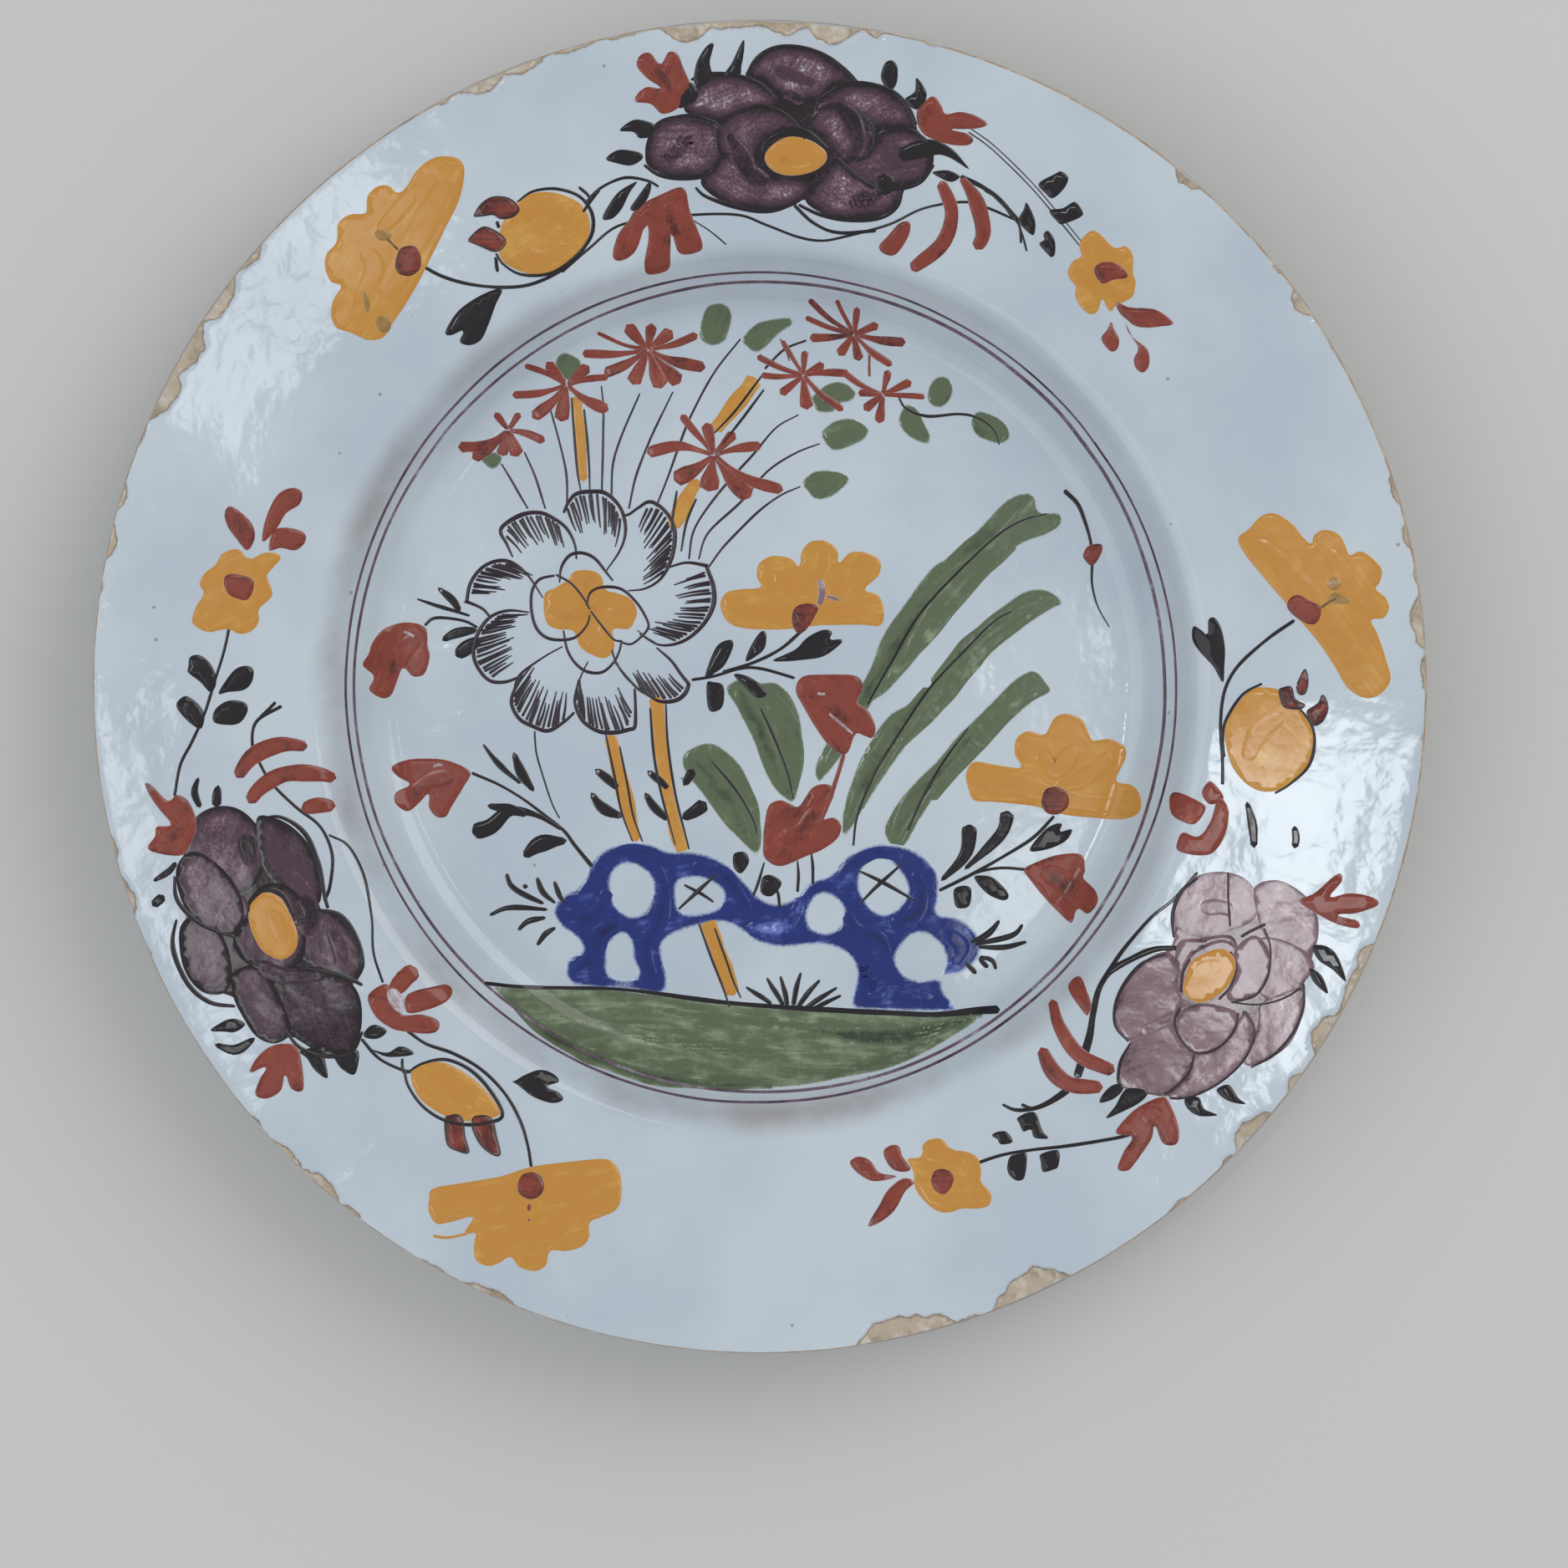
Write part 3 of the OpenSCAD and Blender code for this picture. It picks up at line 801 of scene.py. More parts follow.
turned("foot_ring_clay", foot_rows, clay_look("fired_clay_foot"),
       ["foot_ring", "clay_floor", "clay_wall"])

# Underside: glazed, with small round scars where the kiln spurs held the dish
SPURS = [(64, 146), (181, 146), (302, 146)]     # angle in degrees and radius in mm of each scar
SCAR = 1.9                                      # radius of a scar in mm
FAR_INSIDE = -9.0                               # the "bare" value of glaze far from any bare clay
back_rings = np.concatenate([np.arange(foot_out + 0.4, 90, 1.2), np.arange(90, 124, 1.6),
                             np.arange(124, under_r - 6, 2.6), np.linspace(under_r - 6, under_r, 9)])
back_rows, back_bare = [], []
under_bare = 0.5 + 0.35 * ragged(turns, 7.7) + np.clip(bare - 3.0, 0, 4) * 0.25
for r in back_rings:
    x, y = r * np.cos(turns), r * np.sin(turns)
    inside_chip = under_bare - (under_r - r)
    for angle, far in SPURS:
        sx, sy = far * math.cos(math.radians(angle)), far * math.sin(math.radians(angle))
        inside_chip = np.maximum(inside_chip, SCAR - np.hypot(x - sx, y - sy))
    inside_chip = np.maximum(inside_chip, FAR_INSIDE)
    z = np.interp(r, back_r, back_z) + unevenness(x, y)
    back_rows.append((ring(r), z + np.clip(inside_chip, 0, 0.5) * 0.5))
    back_bare.append(inside_chip)
turned("back_glaze_coat", back_rows, glaze_look("tin_glaze_back", True), ["back_glaze"],
       back_bare, down=True)

# Base: the glazed round inside the foot ring
base_rings = [0.6, *np.arange(6, foot_in - 1.4, 3.4), foot_in - 1.2]
turned("base_glaze_coat", [(ring(r), base_z + ring_unevenness(r) * 0.6) for r in base_rings],
       glaze_look("tin_glaze_base", False), ["base_glaze"], down=True)


# ---- The painting in the well -----------------------------------------------------------------

def circle_line(paint, radius, start, width, load):
    """A line drawn freehand round the dish on the wheel, its ends overlapping a little"""
    knots = []
    for i in range(50):
        turn = math.radians(start + i * 7.42)
        r = radius + 0.22 * math.sin(3 * turn + start) + random.uniform(-0.10, 0.10)
        knots.append((r * math.cos(turn), r * math.sin(turn)))
    paint.stroke(knots, width, load, shake=0.02)


lines = Paint("well_double_line", "line", 0.05)
circle_line(lines, 106.4, 33, [0.6, 0.75, 0.65, 0.8, 0.65], 0.48)
circle_line(lines, 104.1, 36, [1.05, 0.75, 0.8, 0.85, 1.0], 0.36)
lines.done("well_lines")

# Green bank along the foot of the scene
bank = Paint("bank_wash", "green", 0.045)
bank.shape([(-70, -76.5), (-70, -76.5), (-60, -77.5), (-40, -78), (-25, -79.5), (-10, -81.5),
            (10, -83), (30, -84), (45, -84.5), (60, -83), (60, -83), (48, -91), (35, -97.5), (20, -101),
            (8, -103), (-5, -103), (-20, -102), (-35, -98.5), (-48, -93), (-60, -86)], 0.62, -3, grid=1.3)
bank.strokes([
    ([(-66, -79), (-56, -88), (-42, -95.5), (-26, -100.5), (-10, -102.3), (4, -102.5)],
     [1.5, 3.4, 3.6, 3.0, 1.2], 1.5),
    ([(-46, -85), (-30, -90), (-10, -93.5), (14, -94.5)], [2, 4, 3.6, 1], 1.0),
    ([(-30, -83), (-5, -86), (22, -88), (46, -87.5)], [1, 3, 3, 1], 0.95),
    ([(4, -99.5), (22, -98), (38, -93), (50, -87.5)], [1, 3, 3, 1], 0.85),
    ([(12, -88.5), (28, -90.5), (42, -89), (55, -85)], [1.5, 5, 5, 1.5], 1.6),
    ([(-56, -83.5), (-40, -87.5), (-22, -91)], [1.2, 2.6, 1], 0.75)], shake=0.10, over=0.62)
bank.done("green_bank")

bank_edge = Paint("bank_outline", "black", 0.09)
bank_edge.stroke([(-71.5, -76), (-60, -77.5), (-40, -78), (-25, -79.5), (-10, -81.5), (10, -83), (30, -84),
                  (45, -84.5), (58, -83), (62, -82.5)], [1.0, 1.1, 1.1, 1.4, 1.3, 1.6, 1.5, 2.2], 1.0)
bank_edge.done("green_bank")

# Pierced garden rock
rock = Paint("rock_wash", "cobalt", 0.05)
rock_holes = (
    [(-38.5, -50), (-37, -47), (-34, -46), (-30.5, -47.5), (-28.5, -50), (-28.5, -54),
     (-30, -57.5), (-33, -59), (-36, -57.5), (-38, -54.5)],
    [(-21, -50.5), (-17, -49.5), (-13, -50.5), (-10, -53), (-11, -56.5), (-15, -58),
     (-20, -58), (-21.5, -55)],
    [(-36, -64), (-34, -66), (-33.5, -70), (-32, -74), (-35, -75.5), (-39, -74),
     (-39.5, -69), (-38.5, -66)],
    [(13, -57), (15, -54), (18, -54), (21, -57), (20.5, -61), (17.5, -63), (13.5, -62), (12.5, -59.5)],
    [(26, -49), (29, -44.5), (33, -45), (36.5, -49), (37.5, -53), (35, -57), (31, -58), (27, -54)],
    [(36, -68), (39, -64.5), (43, -64), (46.5, -67), (47.5, -70.5), (46, -74), (42, -75.5), (38, -74.5),
     (35.5, -71)])
rock.shape([(-45.5, -49), (-44, -45), (-40, -41.5), (-35, -40), (-29, -40), (-24, -42),
            (-19, -42), (-13, -43), (-8, -46), (-3, -51), (0, -54), (4, -55.5), (9, -54), (13, -50),
            (18, -48), (22, -43.5), (27, -41), (32, -40), (38, -41), (43, -44), (46, -48), (46.5, -54),
            (46, -58), (50, -59), (54, -61), (57, -65), (56.5, -70), (52, -74), (48, -75), (47.5, -78),
            (50.5, -82), (50, -84), (35, -84), (24, -83), (24, -78), (24.5, -73), (22, -69), (17, -67),
            (11, -67), (5, -67.5), (-1, -66), (-6, -62.5), (-10, -61), (-14, -61.5), (-20, -63), (-25, -66),
            (-25, -70), (-24, -75), (-25, -79.5), (-35, -78.5), (-44, -78), (-49, -77), (-51, -74),
            (-50, -70), (-46.5, -68), (-48, -65), (-52, -62), (-54, -58), (-52, -54), (-48, -52)], 0.86,
            10, rock_holes)
for points, width, load in (
        ([(-44, -50), (-40, -44.5), (-33, -42), (-26, -43.5)], [2, 3.6, 3], 1.5),
        ([(-51, -58), (-46, -60), (-42, -58), (-39.5, -52)], [2, 5, 3], 1.45),
        ([(-48, -73), (-43, -70), (-41.5, -64), (-36, -61)], [3, 5, 3], 1.5),
        ([(-27, -45), (-25, -52), (-26, -60), (-30, -68), (-28, -76)], [2, 4.5, 5, 3], 1.45),
        ([(-18, -46), (-10, -48), (-6, -53), (-3, -58)], [3, 4, 3], 1.4),
        ([(-4, -62.5), (4, -62), (9, -58.5), (11, -54)], [4, 6, 3], 0.7),
        ([(20, -50), (23.5, -46), (30, -42.5), (37, -43.5)], [2.5, 3.6, 3], 1.5),
        ([(40, -47), (42, -53), (40, -59), (33, -62)], [3, 5, 4], 1.45),
        ([(22, -58), (25, -63), (31, -65), (33, -70)], [3, 5, 4], 1.45),
        ([(48, -63), (52, -67), (50, -72)], [3, 4.5, 2.5], 1.4),
        ([(27, -80.5), (34, -79), (45, -80)], [3, 4, 3], 0.75),
        ([(27, -71), (28, -76), (33, -79)], [3, 3.6, 2], 1.35)):
    rock.stroke(points, width, load * 0.95, shake=0.12, over=0.86)
rock.done("blue_rock")

crosses = Paint("rock_crosses", "black", 0.11)
for points in ([(-20, -51), (-16, -53), (-12, -55.5)], [(-11, -48), (-16, -52.5), (-21.5, -57.5)],
               [(25, -47), (32, -50.5), (40, -55)], [(37, -45), (31, -50.5), (25.5, -56)]):
    crosses.stroke(points, [0.6, 1.25, 0.7], 1.2)
crosses.done("blue_rock")

rock_leaves = Paint("rock_side_leaves", "black", 0.08)
for points in ([(1, -45), (-0.5, -50), (-2, -54)], [(3, -50), (4.5, -53), (5, -57)],
               [(9.5, -44.5), (9.8, -49), (9.5, -53)], [(13, -42), (13.5, -46), (13.5, -51)]):
    rock_leaves.stroke(points, [0.5, 1.0, 0.9], 1.0)
rock_leaves.shape([(0.5, -49), (3, -48.5), (5.5, -50.5), (3, -54), (0, -53)])
rock_leaves.shape([(-7, -43), (-4, -42.5), (-3, -45), (-5, -48), (-7, -46.5)])
rock_leaves.done()

# Bamboo: five yellow stems, their outlines and pairs of dark leaves
bamboo = Paint("bamboo_yellow", "yellow", 0.09)
for points, width in (
        ([(-47.5, 75.5), (-46.5, 63), (-45.8, 53)], [3.0, 3.6, 2.2]),
        ([(-1, 80), (-6, 73.5), (-12, 66)], [4.2, 4.4, 3.4]),
        ([(-16, 54), (-19.5, 48), (-23, 41)], [3.6, 4.4, 3.6]),
        ([(-39, -12), (-37, -20), (-34, -33), (-32, -40)], [3.2, 3.6, 4.4, 3.4]),
        ([(-27, -2), (-26, -12), (-24.5, -25), (-22, -37), (-20, -43)], [3.4, 3.4, 3.0, 4.0, 3.4]),
        ([(-14, -60), (-11, -68), (-7, -80)], [4.4, 4.6, 4.0])):
    bamboo.stroke(points, width, 0.72, shake=0.10, square=True)
bamboo.done("bamboo_stems")

bamboo_lines = Paint("bamboo_outlines", "black", 0.14)
for points in (
        [(-48.7, 75), (-48, 65), (-47.3, 56), (-46.3, 50.5)], [(-45.5, 72), (-44.5, 62), (-44, 51)],
        [(0.5, 80.5), (-6, 72), (-12, 65.5)], [(1, 77), (-5, 69), (-10, 62.5)],
        [(-21.5, 51), (-22.5, 45), (-23, 40)], [(-16.5, 49), (-19, 43), (-20.5, 35)],
        [(-40, -12), (-38, -22), (-36, -32), (-33, -40)],
        [(-36.5, -15), (-34.5, -25), (-33, -33), (-30.5, -40)],
        [(-28.5, -5), (-27.5, -18), (-25, -30), (-22, -41)],
        [(-24.5, -4), (-24, -15), (-22, -28), (-18.5, -42)],
        [(-16, -61), (-13.5, -68), (-10, -77), (-8, -83)],
        [(-12, -62), (-9.5, -69), (-7, -76), (-5, -80.5)]):
    bamboo_lines.stroke(points, [0.6, 0.85, 0.8, 0.5], 0.95)
bamboo_lines.done("bamboo_stems")

bamboo_leaves = Paint("bamboo_leaves", "black", 0.13)
for points, width in (
        ([(-43, -21), (-39, -24), (-36.5, -26.5)], [1.2, 3.0, 1.2]),
        ([(-44, -27), (-41, -31), (-35.5, -33.5)], [1.2, 3.5, 1.4]),
        ([(-29.5, -21.5), (-26, -24), (-23.5, -26.5)], [1.0, 2.8, 1.0]),
        ([(-30, -27), (-27.5, -31), (-23.5, -34.5)], [1.0, 3.3, 1.2]),
        ([(-20, -25.5), (-18.5, -23), (-17, -21)], [1.0, 3.0, 2.4]),
        ([(-20.5, -34), (-17, -32), (-14, -29.5)], [1.4, 3.6, 4.4])):
    bamboo_leaves.stroke(points, width, 1.1)
bamboo_leaves.done()

# Two broad leaves behind the rock, and three long leaves that lean to the right
broad = Paint("broad_leaf_wash", "green", 0.03)
broad.shape([(-20, -17), (-17, -15), (-13, -14), (-9, -16), (-5, -20), (-2, -26), (0, -33),
             (0.5, -40), (-1, -44), (-1, -44), (-5, -40), (-10, -35), (-15, -28), (-19, -23),
             (-20.5, -20)], 0.95, -58)
broad.shape([(-9, 0), (-4, 3), (0, 1.5), (4, 1.5), (8, -2), (10.5, -8), (11, -15), (10.5, -22), (9.5, -28),
             (8, -30), (8, -30), (4, -27), (1, -22), (-2, -14), (-6, -6)], 0.95, -65)
broad.strokes([
    ([(-18, -18), (-12, -24), (-6, -33), (-3, -40)], [3, 5, 3.5, 1.5], 1.3),
    ([(-13, -15.5), (-6, -22), (-1.5, -32), (-0.7, -40)], [1.5, 3, 2.6, 1], 0.85),
    ([(-6, 0), (-1, -9), (3, -19), (7.5, -28)], [3, 5, 4, 1.5], 1.3),
    ([(2, 0), (7, -7), (9.5, -17), (9, -27)], [2, 4, 3, 1], 0.9)], shake=0.10, over=0.95)
broad.done("broad_leaves")

long = Paint("long_leaf_wash", "green", 0.03)
long.shape([(27, 3), (31, 13), (37, 22), (44, 31), (50, 35), (57, 42), (62, 47.5), (66, 50), (69.5, 50.3),
            (71, 49), (72, 45.5), (77, 45.2), (77.5, 42), (74, 39.5), (66, 36), (58, 28),
            (49, 18.5), (40, 7), (33, -1), (28, -5), (24, -14), (15, -25), (15, -25), (14, -20),
            (20, -8)], 0.78, 48)
long.shape([(21, -33), (24, -22), (28, -14), (33, -7), (38, -4), (44, 1.5), (50, 9), (56, 16), (62, 21),
            (67, 24.5), (71, 25.7), (75, 25), (78, 22), (74, 19.5), (66, 14), (58, 7), (50, -2), (42, -10),
            (35, -19), (29, -28), (24, -36), (21, -40), (21, -40)], 0.85, 48)
long.shape([(33, -33), (38, -26), (45, -19), (51, -12), (58, -5), (64, 1), (68, 4), (71, 4.6),
            (74, 1.5), (75, -1), (70, -4), (62, -11), (54, -19), (47, -26), (42, -33), (38, -40), (35, -42),
            (32, -38)], 0.85, 46)
long.strokes([
    ([(17, -20), (26, -4), (34, 9), (44, 24)], [2, 4, 5, 3], 1.25),
    ([(40, 24), (50, 33), (59, 40), (68, 48)], [2, 4, 4, 2], 1.2),
    ([(33, 2), (43, 13), (54, 26), (66, 37)], [1.5, 3, 3, 1.5], 0.8),
    ([(22, -36), (27, -24), (34, -12), (44, 0)], [2, 4.5, 4.5, 3], 1.25),
    ([(36, -15), (47, -3), (58, 10), (70, 19)], [2, 4, 4, 2], 0.8),
    ([(44, 1), (54, 12), (64, 20), (73, 23.5)], [2, 3.5, 3.5, 2], 1.2),
    ([(34, -40), (40, -29), (49, -19), (57, -9)], [3, 5, 4, 2], 1.3),
    ([(44, -29), (53, -18), (64, -6), (72, -1)], [2, 3.5, 4, 2], 0.85)], shake=0.10, over=0.8)
long.done("long_leaves")

veins = Paint("leaf_veins", "black", 0.09)
for points in (
        [(-12.5, -19), (-6, -27), (-2, -34), (-1, -38)], [(0, -5), (4, -14), (7, -22), (8.5, -29)],
        [(27.5, -4.5), (34, 7), (41, 19), (50, 29), (60, 38.5), (67, 43), (74, 45)],
        [(24, -41), (25, -33), (29, -23), (35, -13), (43, -1), (52, 9), (60, 17), (65, 20)],
        [(38, -37), (42, -28), (48, -18), (54, -10)]):
    veins.stroke(points, [0.7, 0.95, 0.75, 0.5], 0.9)
veins.done("broad_leaves", "long_leaves")

# White peony: outlined petals with fine hatching, and a yellow heart
PEONY = (-44, 20)
PETAL_LINE = 1.15       # how much heavier the petals' outlines are than the widths below
petals = Paint("white_peony_outline", "line", 0.11)
for points, width in (
        ([(-51, 45), (-49.5, 48), (-47.5, 50), (-44, 50.6), (-40, 50.2), (-36.5, 47), (-35, 43),
          (-35, 39), (-36.5, 35), (-40, 30)], [0.7, 1.0, 1.0, 0.9, 0.6, 0.4]),
        ([(-64, 33.5), (-65.5, 37), (-67, 41), (-62, 44.5), (-57, 45.2), (-53, 43.5), (-50, 41), (-48, 37),
          (-47.5, 33)], [0.5, 0.9, 1.1, 1.0, 0.8, 0.5]),
        ([(-56, 23), (-60, 29), (-64, 32.3), (-68, 32.8), (-72, 31), (-75, 27), (-76, 22.2), (-76, 22.2),
          (-72, 20.5), (-70, 18.5)], [0.35, 0.6, 0.9, 1.0, 0.9, 0.6]),
        ([(-59.5, 19.5), (-65, 20), (-69, 18.8), (-71.5, 16.5), (-73.5, 13), (-74.3, 9),
          (-73, 5), (-70, 1.8), (-66, 1.5), (-62, 3)], [0.4, 0.8, 1.0, 1.0, 0.9, 0.6]),
        ([(-51, 10.8), (-56, 8), (-62, 3.5), (-63.5, 0)], [0.4, 0.6, 0.8]),
        ([(-61.5, 4), (-63.5, 0), (-64.5, -4), (-62.5, -8), (-59, -10), (-55, -11.2),
          (-51, -9), (-48, -6.3)],
         [0.6, 0.9, 1.0, 1.0, 0.7]),
        ([(-44.5, 7), (-46, 4), (-47.5, 0), (-48, -4), (-46, -8.5), (-42, -11.2),
          (-38, -11.6), (-34, -10.8), (-32.5, -10), (-32.3, -5), (-32.5, 0)],
          [0.35, 0.6, 1.0, 1.1, 0.9, 0.6]),
        ([(-38, 7), (-36, 4.5), (-32, 0), (-29, -1.8), (-26, -3.5), (-22, -3.3), (-19.5, -1.5), (-18.5, 1),
          (-18.5, 1), (-20.5, 3.5), (-23, 7), (-27, 10.5)], [0.35, 0.6, 1.0, 1.0, 0.8, 0.5]),
        ([(-32, 15), (-29.5, 13), (-27, 11.5)], [0.3, 0.5, 0.5]),
        ([(-31.5, 14), (-26, 11), (-20, 12), (-15, 16), (-12.3, 21), (-12.2, 26), (-13.5, 30), (-14, 31.5),
          (-14, 31.5), (-19, 32.3), (-24, 31)], [0.4, 0.7, 1.0, 1.1, 0.9, 0.5]),
        ([(-34.5, 25), (-30, 25.6), (-26, 28), (-23.5, 32), (-22.3, 37), (-22.5, 42),
          (-25, 46), (-28.5, 48), (-31.5, 46.5), (-34, 44.8), (-36, 44.5)], [0.4, 0.7, 1.0, 1.1, 0.9, 0.6]),
        ([(-53, 29), (-57, 28), (-59, 25), (-59.2, 20), (-58, 15.5), (-55.5, 13), (-52, 12.3), (-48, 13),
          (-45, 16), (-44, 19)], [0.6, 0.8, 0.8, 0.7, 0.5]),
        ([(-53, 29.3), (-49, 27), (-46, 23.5), (-44, 20)], [0.6, 0.7, 0.5]),
        ([(-52, 27), (-51.5, 31), (-49.5, 34), (-46.5, 34.8), (-43, 33.5), (-40, 30), (-38, 27.5)],
         [0.5, 0.8, 0.8, 0.5]),
        ([(-45, 21), (-44, 24.5), (-41, 26), (-36, 25.5), (-32, 22), (-29.5, 18), (-29, 15.5), (-31, 13),
          (-33.5, 11.3), (-36, 11.8)], [0.5, 0.8, 0.8, 0.7, 0.5]),
        ([(-44, 20), (-41, 16), (-38, 12.5), (-35.5, 12)], [0.5, 0.7, 0.5]),
        ([(-51, 15), (-50, 10), (-48, 6.5), (-45, 4.2), (-41, 4), (-38, 6.5), (-36.5, 9.5), (-36, 12)],
         [0.5, 0.8, 0.8, 0.5]),
        ([(-38.5, 10), (-37.5, 7), (-35, 3), (-32, 0)], [0.5, 0.6, 0.4])):
    petals.stroke(points, [w * PETAL_LINE for w in width], 1.2)
petals.done("white_peony")

hatch = Paint("white_peony_hatching", "line", 0.10, ramp=0.1)
for points, count, depth, lean in (
        ([(-50, 46), (-47, 49.5), (-42, 50), (-38, 47.5), (-36, 43)], 17, 8.125, 0.15),
        ([(-66, 39), (-65, 42), (-60, 44.5), (-55, 44), (-51.5, 41.5)], 16, 7.5, -0.10),
        ([(-65, 32), (-70, 31.5), (-73.5, 28.5), (-75, 24)], 16, 8.125, 0.10),
        ([(-67, 19), (-71, 16), (-73.5, 11), (-73, 6), (-69, 2.5)], 20, 8.75, 0.0),
        ([(-63.5, 0), (-63.5, -5), (-60, -9), (-55, -10.5), (-50.5, -8.5)], 19, 8.75, 0.12),
        ([(-47.5, -3), (-46, -8), (-41, -11), (-35, -10.5), (-33, -6)], 19, 8.75, 0.10),
        ([(-31, -0.5), (-27, -2.5), (-22.5, -2.8), (-19.5, 0)], 13, 6.875, -0.1),
        ([(-22, 12), (-16.5, 15.5), (-13, 21), (-13, 27), (-14.5, 30.5)], 20, 9.375, 0.0),
        ([(-25, 30), (-23.3, 35), (-23, 41), (-26, 46), (-30, 46.5)], 18, 8.75, 0.08)):
    hatching(hatch, points, PEONY, count, depth, lean)
hatch.done("white_peony")

heart = Paint("white_peony_heart", "yellow", 0.05)
heart.shape([(-56, 24), (-55.5, 17), (-52.5, 15), (-48.5, 14.5), (-47, 11), (-45, 9),
             (-41, 7.5), (-38.5, 8.5), (-37.5, 11), (-38, 15), (-34, 15), (-32.5, 17), (-31.8, 20),
             (-33.5, 23), (-37, 24.5), (-40, 25.5), (-41, 29), (-44, 30.5), (-48, 30.2), (-50, 28),
             (-53, 26)], 0.85, 35)
heart.strokes([
    ([(-55, 20), (-50, 18), (-45, 20), (-40, 22)], [3, 5, 4], 1.15),
    ([(-50, 27), (-46, 27.5), (-42.5, 25)], [3, 4.5, 3], 1.0),
    ([(-45, 12), (-42, 10.5), (-39.5, 12), (-41, 17)], [3, 3.6, 3], 0.95),
    ([(-40, 19), (-36.5, 19.5), (-33.5, 18.5)], [3, 3.6, 2.5], 1.1)], shake=0.1, over=0.85)
heart.done("white_peony_heart")

# Seven spider asters at the top of the scene
asters = Paint("aster_rays", "red", 0.11)
for centre, rays in (
        ((-65, 66.5), [(-78, 62, 3, 0.12), (-74.5, 59, 3, 0.05), (-67, 59.5, 3, 0), (-62.5, 59.5, 4, 0),
                       (-55.5, 63.5, 2.5, 0.05), (-68.5, 71, 2, 0), (-62, 71, 2, 0)]),
        ((-50, 78), [(-64, 75.5, 2.2, 0.06), (-60.5, 83, 1.6, -0.05), (-55, 84, 3, 0),
                     (-59, 69.5, 3.2, 0.05),
                     (-51.5, 68.5, 4, 0), (-39, 71.5, 3, -0.06), (-39, 80, 2, 0.05), (-44, 83, 3, 0)]),
        ((-29, 87), [(-42, 91.5, 1.2, 0.05), (-34.5, 93.5, 3.5, 0), (-28, 94, 3, 0), (-22.5, 92, 3.5, 0),
                     (-16, 91, 2.4, -0.05), (-46, 86, 2.2, 0.03), (-40.5, 81, 3, 0.05), (-33, 78, 3.8, 0),
                     (-25.5, 77, 4.2, 0), (-20.5, 78.5, 4, -0.03), (-14, 82.5, 3.2, -0.05)]),
        ((-12, 60), [(-20.5, 70.5, 2.2, 0), (-14, 68.5, 3.4, 0), (-6.5, 66, 3, 0), (0.5, 62.5, 2.6, 0.04),
                     (-29.5, 60.5, 3, -0.12), (-22.5, 53.5, 4.5, 0.04), (-13.5, 50.5, 5, 0),
                     (-2.5, 49, 4.5, -0.04),
                     (6, 51, 3, -0.08)]),
        ((11, 80.5), [(-1, 85.5, 1.8, 0.04), (5.5, 89.5, 1.5, 0), (11.5, 87, 2, 0), (16.5, 83.5, 2.4, 0),
                      (23, 81, 2, 0.03), (0, 80.5, 1.8, 0.03), (5, 75.5, 2.4, 0), (12, 71.5, 3.4, 0),
                      (21.5, 71.5, 2, -0.05)]),
        ((24, 91), [(12.5, 100, 1.6, 0.05), (19.5, 99.8, 1.3, 0), (25, 98, 2, 0), (30.5, 93.5, 2.5, 0),
                    (37.5, 89, 2.4, -0.04), (11.5, 95.5, 1.5, 0.03), (12.5, 90, 2.4, 0.02),
                    (20, 85.5, 2.6, 0),
                    (25.5, 84, 2.6, 0), (34, 83, 2, -0.05)]),
        ((31.5, 75.5), [(21, 81.5, 1.8, 0.05), (33, 82, 2, 0), (39, 79, 2.4, 0), (42.5, 75, 1.6, 0),
                        (25, 76, 2, 0), (26.5, 71.5, 2.6, 0), (30.5, 68, 2.6, 0)])):
    ray_flower(asters, centre, rays)
asters.stroke([(28, 80), (28, 83), (28, 86)], 0.9, 0.9)
asters.done("asters")

stems = Paint("thin_stems", "line", 0.04, ramp=0.1)
for points in (
        [(-60, 46), (-64, 53), (-67, 58)], [(-55.5, 46), (-58, 54), (-61, 61)],
        [(-50, 46), (-50, 54), (-51.5, 62), (-54.5, 73)],
        [(-41, 50.5), (-40.7, 60), (-40.5, 71), (-41, 78)],
        [(-38.5, 49), (-38, 58), (-35, 67), (-31, 76)], [(-34, 46), (-32, 55), (-28, 65), (-22.5, 76.5)],
        [(-27, 46.5), (-24, 54), (-21.5, 61), (-18, 70), (-12, 81), (-5, 90)],
        [(-18.5, 33), (-17, 41), (-11, 50), (-2, 60), (4, 67), (10, 70.5)],
        [(-16, 33), (-13.5, 40), (-5, 48), (2, 56), (9, 60.5), (15.5, 63)],
        [(-13.5, 31), (-9, 37), (-1, 45), (5, 49.5), (10.5, 52)]):
    stems.stroke(points, [0.6, 0.75, 0.7, 0.5], 0.8)
stems.stroke([(1, 82), (6, 87), (12, 89.5)], 0.7, 0.95)
stems.stroke([(5, 90), (6.5, 87), (7.5, 84)], 0.5, 0.5)
stems.done()

